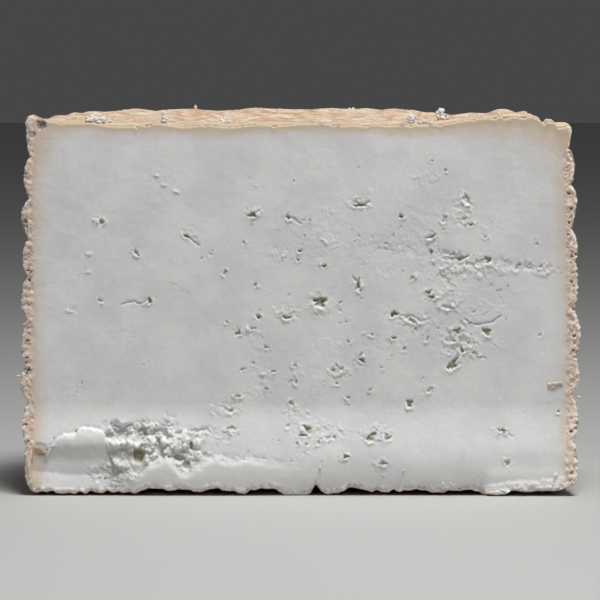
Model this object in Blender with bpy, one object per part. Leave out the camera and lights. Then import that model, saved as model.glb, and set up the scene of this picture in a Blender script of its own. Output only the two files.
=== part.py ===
import itertools

import bpy
import numpy as np

# All sizes below are in millimetres. The mesh is written in metres.
METRES = 0.001

# Wheel
RADIUS = 65.4
WIDEST_HEIGHT = 38.0
BARREL_CURVE = 0.00063
HEIGHT = 90.2
DISH_DEPTH = 3.2
DISH_POWER = 5.0
BASE_CORNER = 3.0
TOP_CORNER = 1.5
BOX_MIDDLE = 31.2

# Rim of the top: x, and how far it stands over the nominal height there, all round and at the cut alone
RIM = (
    (-66.0, -1.2), (-60.5, -1.3), (-57.5, -0.5), (-50.0, -0.1), (-40.0, 0.0), (24.0, 0.0),
    (31.0, -0.7), (42.0, -0.8), (49.0, 0.0), (54.0, 0.0), (56.0, -0.7), (57.5, -2.3), (66.0, -2.9),
)
RIM_SHARE = (0.62, 0.88)
CUT_RIM = (
    (-66.0, 1.5), (-62.5, 1.5), (-60.5, 0.0), (57.0, 0.0), (57.8, 2.0), (59.4, 1.9), (60.2, 0.7), (66.0, 0.7),
)
CUT_RIM_SPREAD = 2.5
SWELL_RISE = 1.3
SWELL_PLACE = 46.0
SWELL_SPREAD = 9.0

# Rind, printed by the coils of a basket mould: heights of the grooves at the left and right end of the cut
GROOVES_LEFT = (-0.5, 11.6, 21.9, 30.0, 41.7, 51.7, 60.8, 70.3, 80.0, 96.0)
GROOVES_RIGHT = (-0.5, 13.0, 24.1, 32.8, 43.9, 55.2, 63.2, 73.6, 82.0, 96.0)
COIL_RELIEF = 0.85
COIL_SHAPE = 0.7
COIL_CREST = 0.5
COIL_GROOVE = 1.1
COIL_BEND = 1.1
COIL_BEND_SIZE = 13.0
COIL_BEND_FROM = (2.0, 14.0)
MAT_PITCH = 8.5
MAT_RELIEF = 0.45
LUMP_SIZE = 5.5
LUMP_RELIEF = 0.5
TOP_SHAPE_FROM = 70.0

# Cut face, whose foot swells forward
KNIFE_WAVE = 0.25
KNIFE_WAVE_SIZE = 24.0
FOOT_TOP = 22.0
FOOT_CREST = 7.6
FOOT_SWELL = 3.0
FOOT_TUCK = 1.5
EDGE_FADE = 6.0
DETAIL_MARGIN = (0.8, 2.6)

# Lower edge of the cut: x, and how far the rind hangs above the ground there
HEM = (
    (-66.0, 0.9), (-38.0, 1.0), (-35.5, 2.2), (-31.0, 1.3), (-25.0, 0.7), (-22.0, 1.6),
    (-17.0, 1.4), (-13.2, 0.3), (-10.0, 1.5), (-5.5, 1.7), (-3.8, 0.0), (1.8, 0.0),
    (3.5, 2.4), (6.6, 0.4), (9.2, 0.4), (11.5, 1.6), (16.5, 1.4), (19.0, 0.8),
    (22.0, 1.4), (25.0, 0.9), (28.0, 1.3), (31.5, 0.9), (42.3, 1.0), (43.6, 0.0),
    (48.0, 0.0), (49.5, 1.0), (60.0, 1.2), (66.0, 1.6),
)
HEM_FADE = 7.0
HEM_HEIGHT = 6.0

# Slab that broke forward along the foot: x and z of its upper edge
LEDGE = (
    (-63.7, 12.5), (-59.7, 9.4), (-57.3, 13.4), (-55.9, 14.6), (-53.3, 14.6), (-50.9, 16.3),
    (-47.2, 15.8), (-46.0, 14.4), (-45.3, 9.7), (-43.0, 6.8), (-37.3, 5.9), (-35.4, 7.8),
    (-31.6, 9.7), (-28.0, 5.7), (-26.4, 5.8), (-21.7, 9.0), (-19.8, 9.9), (-17.2, 8.7),
    (-12.5, 9.2), (-5.0, 8.1), (7.0, 7.2),
)
LEDGE_STEP = 0.9
LEDGE_SOFTNESS = 0.5
LEDGE_RAG = 0.35
LEDGE_RAG_SIZE = 1.6
LEDGE_ENDS = (-64.2, -59.7, -19.8, 7.0)

# Torn hollows behind the slab: x, z, half width, half height, depth
HOLLOWS = (
    (-43.6, 12.6, 3.4, 5.2, 3.6), (-37.6, 10.6, 4.2, 3.8, 4.4), (-37.6, 14.8, 2.6, 2.6, 3.0),
    (-26.6, 12.4, 3.2, 3.0, 2.6), (-30.0, 8.8, 2.6, 1.5, 2.4), (-51.0, 17.1, 1.2, 0.6, 1.2),
)
HOLLOW_WALL = (1.1, 0.45)
HOLLOW_RAG = 0.3
HOLLOW_RAG_SIZE = 2.2
CRUMB_SHARE = 0.45
CRUMB_SIZE = 1.9

# Openings in the paste: x, z, half width, half height, tilt in degrees
OPENINGS = (
    (-11.2, 66.3, 1.2, 0.9, 30), (4.7, 45.8, 1.7, 1.4, 10), (-3.2, 42.3, 2.3, 1.3, -15),
    (-35.6, 46.2, 0.9, 0.9, 60), (36.1, 31.1, 1.7, 1.5, 40), (25.9, 21.9, 1.1, 1.0, 0),
    (44.2, 38.7, 1.2, 1.0, -20), (38.8, 70.0, 1.3, 1.7, 10), (23.7, 66.0, 0.9, 0.8, 0),
    (22.1, 43.0, 0.9, 0.8, 0), (37.3, 38.9, 1.0, 0.9, 0), (30.7, 61.1, 1.1, 0.8, 40),
    (31.1, 47.2, 0.9, 1.1, 0), (17.5, 14.2, 1.2, 1.0, 0), (20.6, 13.8, 1.1, 1.0, 0),
    (19.3, 7.8, 1.2, 0.8, 20), (-46.9, 64.6, 1.1, 0.9, 45), (-38.3, 57.0, 0.8, 1.1, -30),
    (14.4, 68.6, 1.6, 0.8, 20), (13.4, 50.2, 0.8, 2.0, 30), (14.6, 32.7, 0.8, 1.4, 0),
    (8.5, 29.4, 1.6, 1.1, 0), (47.6, 15.6, 1.2, 0.8, -10), (48.7, 8.5, 1.1, 1.2, 0),
)
OPENING_DEPTH = 1.7
OPENING_EDGE = 1.25
OPENING_WALL = 0.45
OPENING_RAG = 0.35
OPENING_RAG_SIZE = 1.2

# Crumbly fault that runs from the middle to the right: x and z along it
FAULT = ((9.0, 59.7), (30.7, 57.8), (37.0, 56.2), (44.8, 55.4), (52.0, 54.2), (60.0, 53.2))
FAULT_ENDS = (9.0, 30.7, 58.0, 61.0)
FAULT_EDGE = (2.1, 0.6)
FAULT_DEPTH = 0.8
FAULT_FLOOR = 0.6
FAULT_GRAIN = 2.0

CHEESE_COLOUR = (0.62, 0.6, 0.56, 1.0)
CHEESE_ROUGHNESS = 0.6

# One fixed draw for each kind of unevenness
WAVE_SEED = 11
LEDGE_SEED = 21
HOLLOW_SEED = 22
CRUMB_SEED = 23
OPENING_SEEDS = (31, 32)
FAULT_SEED = 41
BEND_SEED = 51
LUMP_SEED = 52

# Mesh before it is thinned, the triangles it is thinned to, and the height below which its base is flat
CELL = 1.05
THINNED_TO = 9600
WELD_GAP = 0.002
FLAT_BELOW = 0.05


def lattice(i, j, k, seed):
    """Fixed random values from -1 to 1 at whole-number points."""
    n = (i * 374761393 + j * 668265263 + k * 1440662683 + seed * 1013904223) & 0xFFFFFFFF
    n = ((n ^ (n >> 15)) * 2246822519) & 0xFFFFFFFF
    n = ((n ^ (n >> 13)) * 3266489917) & 0xFFFFFFFF
    return (n ^ (n >> 16)) / 0x7FFFFFFF - 1.0


def noise(x, y, z, size, seed):
    """Smooth noise from -1 to 1 with bumps of about this size."""
    cells, parts = [], []
    for value in np.broadcast_arrays(x, y, z):
        whole = np.floor(value / size)
        part = value / size - whole
        cells.append(whole.astype(np.int64))
        parts.append(part * part * (3.0 - 2.0 * part))
    total = 0.0
    for corner in itertools.product((0, 1), repeat=3):
        weight = 1.0
        for part, far in zip(parts, corner):
            weight = weight * (part if far else 1.0 - part)
        at = [cell + far for cell, far in zip(cells, corner)]
        total = total + weight * lattice(*at, seed)
    return total


def ramp(value, low, high):
    """Smooth step from 0 at low to 1 at high."""
    t = np.clip((value - low) / (high - low), 0.0, 1.0)
    return t * t * (3.0 - 2.0 * t)


def bell(distance, spread):
    return np.exp(-0.5 * (distance / spread) ** 2)


def between(value, ends):
    """1 between the inner two of four ends, falling to 0 at the outer two."""
    return ramp(value, ends[0], ends[1]) * ramp(value, ends[3], ends[2])


def settle(x, z):
    """How far the cut surface lies behind the knife plane, details apart. The foot swells forward."""
    wave = KNIFE_WAVE * noise(x, 0.0, z, KNIFE_WAVE_SIZE, WAVE_SEED)
    swell = FOOT_SWELL * ramp(z, FOOT_TOP, FOOT_CREST)
    tuck = FOOT_TUCK * (np.clip(FOOT_CREST - z, 0.0, None) / FOOT_CREST) ** 2
    return wave - swell + tuck


def paste_margin(x, z):
    """0 at the outline of the cut, 1 once inside the rind."""
    side = RADIUS - BARREL_CURVE * (z - WIDEST_HEIGHT) ** 2 - np.abs(x)
    inside = np.minimum(side, np.minimum(z, HEIGHT - DISH_DEPTH - z))
    return ramp(inside, *DETAIL_MARGIN)


def torn_slab(x, z):
    """The slab's step forward below its ragged upper edge, and the hollows behind it."""
    edge = np.interp(x, *np.array(LEDGE).T)
    ragged = z + LEDGE_RAG * noise(x, 0.0, z, LEDGE_RAG_SIZE, LEDGE_SEED)
    slab = ramp(edge - ragged, -LEDGE_SOFTNESS, LEDGE_SOFTNESS) * between(x, LEDGE_ENDS)
    tear = np.zeros_like(x)
    for cx, cz, half_x, half_z, deep in HOLLOWS:
        spread = np.hypot((x - cx) / half_x, (z - cz) / half_z)
        spread = spread + HOLLOW_RAG * noise(x, 0.0, z, HOLLOW_RAG_SIZE, HOLLOW_SEED)
        tear = np.maximum(tear, deep * ramp(spread, *HOLLOW_WALL))
    crumbs = 1.0 + CRUMB_SHARE * noise(x, 0.0, z, CRUMB_SIZE, CRUMB_SEED)
    return tear * crumbs * (1.0 - slab) - LEDGE_STEP * slab


def openings(x, z):
    """Mechanical openings: small steep-walled pits with ragged outlines."""
    warp_x = x + OPENING_RAG * noise(x, 0.0, z, OPENING_RAG_SIZE, OPENING_SEEDS[0])
    warp_z = z + OPENING_RAG * noise(x, 0.0, z, OPENING_RAG_SIZE, OPENING_SEEDS[1])
    depth = np.zeros_like(x)
    for cx, cz, half_x, half_z, tilt in OPENINGS:
        cos, sin = np.cos(np.radians(tilt)), np.sin(np.radians(tilt))
        along = (warp_x - cx) * cos + (warp_z - cz) * sin
        across = (warp_z - cz) * cos - (warp_x - cx) * sin
        spread = np.hypot(along / half_x, across / half_z)
        pit = np.clip((OPENING_EDGE - spread) / OPENING_WALL, 0.0, 1.0)
        depth = np.maximum(depth, pit * OPENING_DEPTH * min(1.0, half_z))
    return depth


def fault(x, z):
    off = np.abs(z - np.interp(x, *np.array(FAULT).T))
    crumbs = FAULT_FLOOR + noise(x, 0.0, z, FAULT_GRAIN, FAULT_SEED)
    return FAULT_DEPTH * between(x, FAULT_ENDS) * ramp(off, *FAULT_EDGE) * crumbs


def face_depth(x, z):
    detail = torn_slab(x, z) + openings(x, z) + fault(x, z)
    return settle(x, z) + paste_margin(x, z) * detail


def profile(along):
    """Nominal radius, height and outward direction at a length along the rind.

    The length runs from the centre of the base over the side to the centre of the top.
    """
    quarter = np.pi / 2.0
    base_end = RADIUS - BASE_CORNER
    side_start = base_end + quarter * BASE_CORNER
    side_end = side_start + HEIGHT - BASE_CORNER - TOP_CORNER
    top_start = side_end + quarter * TOP_CORNER
    low = np.clip((along - base_end) / BASE_CORNER, 0.0, quarter)
    high = np.clip((along - side_end) / TOP_CORNER, 0.0, quarter)
    turn = low + high - quarter
    radius = np.minimum(along, base_end) + BASE_CORNER * np.sin(low)
    radius = radius - TOP_CORNER * (1.0 - np.cos(high)) - np.clip(along - top_start, 0.0, None)
    height = BASE_CORNER * (1.0 - np.cos(low)) + TOP_CORNER * np.sin(high)
    height = height + np.clip(along - side_start, 0.0, side_end - side_start)
    return radius, height, np.cos(turn), np.sin(turn)


RIND_LENGTH = 2.0 * RADIUS + HEIGHT - (2.0 - np.pi / 2.0) * (BASE_CORNER + TOP_CORNER)
BASE_SHARE = RADIUS - BASE_CORNER + BASE_CORNER * np.pi / 4.0
TOP_SHARE = RADIUS - TOP_CORNER + TOP_CORNER * np.pi / 4.0


def top_shape(x, y):
    """Height of the top against its rim."""
    share = np.hypot(x, y) / RADIUS
    dish = -DISH_DEPTH * (1.0 - np.clip(share, 0.0, 1.0) ** DISH_POWER)
    rim = np.interp(x, *np.array(RIM).T) * ramp(share, *RIM_SHARE)
    cut_rim = np.interp(x, *np.array(CUT_RIM).T) * bell(y, CUT_RIM_SPREAD)
    swell = SWELL_RISE * bell(np.hypot(x - SWELL_PLACE, y), SWELL_SPREAD)
    return dish + rim + cut_rim + swell


def coil_number(angle, z):
    """Which coil lies at this height, as a number that is whole in the grooves."""
    numbers = np.arange(len(GROOVES_LEFT))
    left = np.interp(z, GROOVES_LEFT, numbers)
    right = np.interp(z, GROOVES_RIGHT, numbers)
    return right + (left - right) * angle / np.pi


def coils(place):
    """Rounded ridges with narrow grooves between them, at whole numbers."""
    bulge = np.abs(np.sin(np.pi * place)) ** COIL_SHAPE
    return (COIL_CREST + COIL_GROOVE) * bulge - COIL_GROOVE


def rind(angle, along):
    """Points of the rind as x, y, z, with the knife plane at y = 0."""
    radius, z, out, up = profile(along)
    radius = radius * (1.0 - BARREL_CURVE * (z - WIDEST_HEIGHT) ** 2 / RADIUS)
    x, y = radius * np.cos(angle), radius * np.sin(angle)
    z = z + top_shape(x, y) * ramp(z, TOP_SHAPE_FROM, HEIGHT)
    bend = COIL_BEND * noise(x, y, z, COIL_BEND_SIZE, BEND_SEED) * ramp(y, *COIL_BEND_FROM)
    relief = COIL_RELIEF * coils(coil_number(angle, z + bend)) * out
    relief = relief + MAT_RELIEF * coils((y + bend) / MAT_PITCH) * np.clip(up, 0.0, 1.0)
    relief = relief + LUMP_RELIEF * noise(x, y, z, LUMP_SIZE, LUMP_SEED) * np.clip(up + 1.0, 0.0, 1.0)
    x = x + relief * out * np.cos(angle)
    y = y + relief * out * np.sin(angle)
    z = z + relief * up
    xs, heights = np.array(HEM).T
    hang = np.interp(x, xs, heights) * np.exp(-((y / HEM_FADE) ** 2))
    z = z + hang * ramp(z, HEM_HEIGHT, 0.0)
    return np.stack([x, y + settle(x, z) * np.exp(-y / EDGE_FADE), z], axis=-1)


def coons(south, north, west, east):
    """Grid of points that fills four boundary curves."""
    u = np.linspace(0.0, 1.0, len(south))[None, :, None]
    v = np.linspace(0.0, 1.0, len(west))[:, None, None]
    rows = (1.0 - v) * south[None] + v * north[None]
    columns = (1.0 - u) * west[:, None] + u * east[:, None]
    corners = (1.0 - u) * ((1.0 - v) * south[0] + v * north[0])
    corners = corners + u * ((1.0 - v) * south[-1] + v * north[-1])
    return rows + columns - corners


def half_disc(columns, rows):
    """Angle and share of the radius over a half disc, its straight side first."""
    angles = np.linspace(np.pi, 0.0, columns + 2 * rows + 1)
    arc = np.stack([np.cos(angles), np.abs(np.sin(angles))], axis=-1)
    straight = np.stack([np.linspace(-1.0, 1.0, columns + 1), np.zeros(columns + 1)], axis=-1)
    back = arc[rows : rows + columns + 1]
    grid = coons(straight, back, arc[: rows + 1], arc[::-1][: rows + 1])
    grid[0, :, 1] = 0.0
    return np.arctan2(grid[..., 1], grid[..., 0]), np.hypot(grid[..., 0], grid[..., 1])


def half_wheel(cell):
    """Corner points and four-sided faces of the whole surface."""
    columns = round(2.0 * RADIUS / cell)
    rows = round((np.pi - 2.0) * RADIUS / 2.0 / cell)
    levels = round((RIND_LENGTH - BASE_SHARE - TOP_SHARE) / cell)
    angle, share = half_disc(columns, rows)
    base = rind(angle, share * BASE_SHARE)
    top = rind(angle, RIND_LENGTH - share * TOP_SHARE)
    around = np.linspace(np.pi, 0.0, columns + 2 * rows + 1)
    along = np.linspace(BASE_SHARE, RIND_LENGTH - TOP_SHARE, levels + 1)
    side = rind(around[None, :], along[:, None])
    face = coons(base[0], top[0], side[:, 0], side[:, -1])
    inner = face[1:-1, 1:-1]
    inner[..., 1] = face_depth(inner[..., 0], inner[..., 2])
    points, faces, start = [], [], 0
    for grid, flipped in ((base, True), (top, False), (side, True), (face, False)):
        index = start + np.arange(grid[..., 0].size).reshape(grid.shape[:2])
        corners = [index[:-1, :-1], index[:-1, 1:], index[1:, 1:], index[1:, :-1]]
        faces.append(np.stack(corners[::-1] if flipped else corners, axis=-1).reshape(-1, 4))
        points.append(grid.reshape(-1, 3))
        start += grid[..., 0].size
    return np.concatenate(points), np.concatenate(faces)


def welded(points, faces):
    """Points of neighbouring grids made one along their shared edges."""
    keys = np.round(points / WELD_GAP).astype(np.int64)
    _, first, merged = np.unique(keys, axis=0, return_index=True, return_inverse=True)
    return points[first], merged.reshape(-1)[faces]


def cheese_material():
    material = bpy.data.materials.new("goat_cheese")
    material.use_nodes = True
    shader = material.node_tree.nodes["Principled BSDF"]
    shader.inputs["Base Color"].default_value = CHEESE_COLOUR
    shader.inputs["Roughness"].default_value = CHEESE_ROUGHNESS
    return material


def main():
    for thing in list(bpy.data.objects):
        bpy.data.objects.remove(thing)
    points, faces = welded(*half_wheel(CELL))
    points = (points - (0.0, BOX_MIDDLE, 0.0)) * METRES
    mesh = bpy.data.meshes.new("cheese")
    mesh.from_pydata(points.tolist(), [], faces.tolist())
    mesh.shade_smooth()
    mesh.materials.append(cheese_material())
    cheese = bpy.data.objects.new("cheese", mesh)
    bpy.context.collection.objects.link(cheese)
    thin = cheese.modifiers.new("thin", "DECIMATE")
    thin.ratio = THINNED_TO / (2.0 * len(faces))
    thin.use_collapse_triangulate = True
    view = bpy.context.evaluated_depsgraph_get()
    cheese.data = bpy.data.meshes.new_from_object(cheese.evaluated_get(view))
    cheese.modifiers.clear()
    for vertex in cheese.data.vertices:
        if vertex.co.z < FLAT_BELOW * METRES:
            vertex.co.z = 0.0


main()
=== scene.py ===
import itertools
import math

import bmesh
import bpy
import numpy as np
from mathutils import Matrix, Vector


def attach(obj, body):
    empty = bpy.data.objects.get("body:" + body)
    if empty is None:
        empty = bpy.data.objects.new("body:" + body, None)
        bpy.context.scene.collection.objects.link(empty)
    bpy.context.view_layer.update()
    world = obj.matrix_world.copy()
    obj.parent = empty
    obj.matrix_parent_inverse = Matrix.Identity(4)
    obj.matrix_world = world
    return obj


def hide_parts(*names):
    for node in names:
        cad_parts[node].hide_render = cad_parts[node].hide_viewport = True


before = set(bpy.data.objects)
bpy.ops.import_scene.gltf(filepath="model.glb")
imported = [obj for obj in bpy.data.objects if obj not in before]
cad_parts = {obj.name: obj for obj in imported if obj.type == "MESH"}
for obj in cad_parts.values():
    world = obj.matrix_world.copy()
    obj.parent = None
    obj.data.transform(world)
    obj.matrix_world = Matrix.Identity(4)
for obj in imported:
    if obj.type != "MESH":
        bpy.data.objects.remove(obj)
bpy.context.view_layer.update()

# All sizes below are in millimetres. Meshes are written in metres.
METRES = 0.001

# Wheel, as in the solid it replaces
RADIUS = 65.4
WIDEST_HEIGHT = 38.0
BARREL_CURVE = 0.00063
HEIGHT = 90.2
DISH_DEPTH = 3.2
DISH_POWER = 5.0
BASE_CORNER = 3.0
TOP_CORNER = 1.5
BOX_MIDDLE = 31.2

# Rim of the top, as in the solid: x, and how far it stands over the nominal height, all round and at the cut
RIM = (
    (-66.0, -1.2), (-60.5, -1.3), (-57.5, -0.5), (-50.0, -0.1), (-40.0, 0.0), (24.0, 0.0),
    (31.0, -0.7), (42.0, -0.8), (49.0, 0.0), (54.0, 0.0), (56.0, -0.7), (57.5, -2.3), (66.0, -2.9),
)
RIM_SHARE = (0.62, 0.88)
CUT_RIM = (
    (-66.0, 1.5), (-62.5, 1.5), (-60.5, 1.1), (-57.5, 0.8), (56.0, 0.8), (57.0, 0.3), (57.8, 2.0), (59.4, 1.9), (60.2, 0.7), (66.0, 0.7),
)
CUT_RIM_SPREAD = 4.5
SWELL_RISE = 1.3
SWELL_PLACE = 46.0
SWELL_SPREAD = 9.0

# Coils of the basket mould printed in the rind, as in the solid: heights of the grooves at both ends of the cut
GROOVES_LEFT = (-0.5, 11.6, 21.9, 30.0, 41.7, 51.7, 60.8, 70.3, 80.0, 96.0)
GROOVES_RIGHT = (-0.5, 13.0, 24.1, 32.8, 43.9, 55.2, 63.2, 73.6, 82.0, 96.0)
COIL_PITCH = 9.9
COIL_RELIEF = 0.85
COIL_SHAPE = 0.7
COIL_CREST = 0.5
COIL_GROOVE = 1.1
COIL_BEND = 1.1
COIL_BEND_SIZE = 13.0
COIL_BEND_FROM = (2.0, 14.0)
MAT_PITCH = 8.5
MAT_RELIEF = 0.45
LUMP_SIZE = 5.5
LUMP_RELIEF = 0.5
TOP_SHAPE_FROM = 70.0

# Finer print of the plaited strands, and the dried rind's wrinkles and pits
STRAND_PITCH = 1.35
STRAND_RELIEF = 0.27
WRINKLE_SIZE = 1.2
WRINKLE_RELIEF = 0.17
WRINKLE_STRETCH = 2.5
PIT_SIZE = 1.0
PIT_RELIEF = 0.35
PIT_FROM = (0.5, 0.75)
BASE_PRINT = 0.35

# Rind seen in the cut: its width at the sides, its rough strands, and how the edges round off
CUT_RIND = 2.3
CUT_RIND_SOFT = 0.45
THIN_RIGHT = 1.7
THIN_LEFT = 1.0
HEM_TINT = 0.9
CUT_PITCH = 0.95
CUT_RIDGE = 0.14
CUT_LUMPS = 0.2
SIDE_ROUND = 0.85
END_ROUND = 0.5
ROUND_FADE = 2.2
RIND_UNDER = 0.14
PLUG_WALL = ((0.1, 0.6), (0.5, 1.2))
RECESS = 6.0
PLUG_DEPTH = 5.6
FACE_OUT = 0.03
RECESS_WALL = ((0.0, RIND_UNDER), (0.8, 1.4), (2.6, 2.4))

# Pits in the cut rind: x, z, half length, half width, tilt in degrees
RIND_PITS = (
    (-64.6, 75.9, 0.6, 0.35, -20), (-64.7, 64.9, 0.55, 0.6, -30), (-64.4, 63.6, 0.4, 0.45, 0),
    (-64.2, 53.1, 0.6, 0.3, 0), (-63.4, 52.8, 0.4, 0.4, 0), (-63.8, 50.8, 0.75, 0.35, -60),
    (-64.0, 38.4, 0.3, 0.3, 0), (-64.2, 36.5, 0.6, 0.3, 10), (-64.4, 32.6, 0.45, 0.4, 0),
    (-64.7, 31.3, 0.4, 0.4, 0), (-64.2, 29.6, 0.9, 0.35, 60), (-64.9, 16.8, 0.6, 0.3, 0),
    (-64.2, 12.8, 0.4, 0.3, 0), (-64.7, 8.3, 0.5, 0.25, 60), (-65.4, 14.3, 0.3, 0.3, 0),
    (63.3, 81.0, 0.9, 0.3, -70), (63.3, 71.4, 0.5, 0.4, 0), (64.0, 67.8, 0.45, 0.5, 0),
    (63.5, 64.6, 0.7, 0.4, 30), (63.2, 61.6, 0.35, 0.3, 0), (64.0, 56.6, 0.5, 0.3, 40),
    (64.0, 50.5, 0.35, 0.35, 0), (64.5, 44.0, 0.4, 0.5, 60), (64.7, 37.6, 0.6, 0.4, 20),
    (64.5, 34.2, 0.6, 0.35, 0), (64.0, 15.1, 0.6, 0.3, 10), (63.5, 6.6, 0.35, 0.4, 0),
    (64.2, 5.7, 0.45, 0.45, 0), (63.7, 3.8, 0.4, 0.3, 0), (64.4, 2.8, 0.35, 0.3, 0),
    (5.2, 88.6, 0.5, 0.3, 30), (9.0, 88.4, 0.55, 0.3, -20), (24.3, 88.6, 0.5, 0.35, 20),
    (58.0, 87.8, 0.5, 0.35, 30),
)
RIND_PIT_DEPTH = 0.7

# Mouldy dents by the upper left corner: x, z, radius, depth
DENTS = ((-61.0, 87.7, 1.35, 0.55), (-63.2, 85.1, 0.9, 0.25))

# Cut face, whose foot swells forward, as in the solid
KNIFE_WAVE = 0.25
KNIFE_WAVE_SIZE = 24.0
FOOT_TOP = 22.0
FOOT_CREST = 7.6
FOOT_SWELL = 3.0
FOOT_TUCK = 1.5
EDGE_FADE = 6.0
END_MARGIN = (0.1, 0.6)
END_NEARNESS = 1.7

# Lower edge of the cut, as in the solid: x, and how far the rind hangs above the ground there
HEM = (
    (-66.0, 0.7), (-38.0, 0.7), (-35.5, 2.2), (-31.0, 1.3), (-25.0, 0.7), (-22.0, 1.6),
    (-17.0, 1.4), (-13.2, 0.3), (-10.0, 1.5), (-5.5, 1.7), (-3.8, 0.0), (1.8, 0.0),
    (3.5, 2.4), (6.6, 0.4), (9.2, 0.4), (11.5, 1.6), (16.5, 1.4), (19.0, 0.8),
    (22.0, 1.4), (25.0, 0.9), (28.0, 1.3), (31.5, 0.9), (42.3, 1.0), (43.6, 0.0),
    (48.0, 0.0), (49.5, 1.0), (60.0, 1.2), (66.0, 1.6),
)
HEM_FADE = 7.0
HEM_HEIGHT = 6.0
HEM_RAG = 0.5
HEM_CRUMBLE = 0.4
HEM_RAG_SIZE = 1.3

# Slab that broke forward along the foot, as in the solid: x and z of its upper edge
LEDGE = (
    (-63.7, 12.5), (-59.7, 9.4), (-57.3, 13.4), (-55.9, 14.6), (-53.3, 14.6), (-50.9, 16.3),
    (-47.2, 15.8), (-46.0, 14.4), (-45.3, 9.7), (-43.0, 6.8), (-37.3, 5.9), (-35.4, 7.8),
    (-31.6, 9.7), (-28.0, 5.7), (-26.4, 5.8), (-21.7, 9.0), (-19.8, 9.9), (-17.2, 8.7),
    (-12.5, 9.2), (-5.0, 8.1), (7.0, 7.2),
)
LEDGE_STEP = 0.75
LEDGE_SHARP = 0.3
LEDGE_SOFTNESS = 0.22
LEDGE_SLOPE = 1.9
FRINGE_RELIEF = 0.3
LEDGE_RAG = 0.3
LEDGE_RAG_SIZE = 1.3
LEDGE_ENDS = (-65.6, -64.2, -19.8, 7.0)

# Face of the slab's left block, which curls in under its top edge and comes out again at its foot: depth
# and heights
BLOCK_CURL = (2.2, 14.6, 7.8)
BLOCK_FOOT = (1.9, 5.35, 1.4)
BLOCK_RIGHT = (-39.0, -45.5)
BLOCK_LEFT = (-65.5, -62.5)

# Torn hollows behind the slab: x, z, half width, half height, depth
HOLLOWS = (
    (-42.5, 14.9, 3.7, 2.8, 1.4), (-42.8, 9.8, 3.8, 2.7, 1.1), (-38.0, 9.8, 1.7, 2.4, 2.0), (-37.2, 15.2, 1.4, 1.5, 1.1),
    (-25.8, 11.8, 0.8, 1.5, 1.6), (-28.6, 9.0, 1.7, 0.9, 1.6), (-26.9, 7.2, 1.0, 1.2, 1.2), (-24.8, 15.3, 3.0, 0.8, 0.25),
    (-33.5, 11.8, 0.8, 1.8, 1.6), (-31.5, 12.0, 8.6, 4.2, 0.9), (-52.9, 14.4, 0.35, 1.0, 1.2), (-61.6, 11.0, 2.4, 1.6, 0.4),
)
HOLLOW_WALL = (1.1, 0.5)
HOLLOW_RAG = 0.3
HOLLOW_RAG_SIZE = 2.0
TORN_PATCHES = ((-34.0, 11.8, 13.0, 5.4, 1.0), (-43.0, 14.6, 4.6, 3.2, 1.0), (-24.0, 15.0, 5.0, 1.6, 0.8),
                (-42.0, 7.6, 5.0, 1.5, 0.9), (-18.5, 13.4, 3.0, 2.4, 0.5))
TORN_RELIEF = 0.75

# Curd lumps left standing in the hollows: x, z, radius, height above the floor
CURDS = (
    (-35.6, 12.5, 2.0, 3.0), (-28.8, 12.5, 2.5, 1.9), (-32.3, 12.7, 1.3, 1.8), (-27.4, 14.5, 1.0, 1.9),
    (-45.0, 12.5, 0.8, 1.3), (-43.3, 12.3, 0.9, 1.5), (-41.6, 12.4, 0.8, 1.5), (-40.2, 12.6, 0.8, 1.5),
    (-38.8, 12.0, 0.8, 2.2), (-24.2, 12.4, 1.2, 1.0), (-30.6, 15.2, 1.1, 1.2), (-31.2, 10.4, 1.0, 1.3),
    (-49.8, 5.3, 1.0, 0.9), (-24.0, 9.6, 0.9, 1.1), (-40.4, 15.6, 0.9, 1.1), (-44.6, 15.6, 0.7, 0.9),
)
CURD_PROUD = 0.5
CURD_RAG = 0.4

# Lip of rind rolled forward at the foot's right end: x and z of its upper edge
ROLLED_LIP = ((42.0, 1.6), (45.0, 3.0), (50.0, 3.8), (58.0, 4.3), (62.0, 4.8), (66.0, 5.0))
ROLLED_STEP = 0.2
ROLLED_SLOPE = 0.3
ROLLED_LEAD = 0.5
ROLLED_ENDS = (42.0, 46.0, 66.0, 67.0)

# Whey-coloured places and painted shade by the slab's left block: x, z, half width, half height, share
WHEY_AND_SHADE_PLACES = (
    (-38.0, 9.8, 1.8, 2.4, 0.9), (-37.2, 15.2, 1.6, 1.5, 0.5), (-25.8, 11.8, 0.8, 1.5, 0.6), (-28.6, 9.0, 1.7, 0.9, 0.6),
    # Those at x -50.0 and -54.0 are painted shade under the left block's curled top edge; that at x -61.8 is the
    # painted shadow along the wedge's lower edge
    (-26.9, 7.6, 1.0, 1.0, 0.4), (-33.5, 11.8, 1.0, 1.8, 0.3), (-42.8, 9.8, 3.8, 2.6, 0.2), (-50.0, 11.0, 2.4, 1.6, 0.18),
    (-61.8, 10.6, 2.6, 1.3, 0.75), (-54.0, 10.2, 6.5, 1.5, 0.22), (-35.0, 15.5, 1.6, 0.7, 0.35), (-22.6, 12.5, 0.6, 1.0, 0.5),
    (-43.5, 6.9, 1.8, 0.5, 0.35), (-47.0, 6.6, 1.4, 0.5, 0.35), (-31.0, 10.8, 2.4, 0.6, 0.3), (-38.9, 7.3, 1.0, 0.5, 0.3),
)

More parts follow.
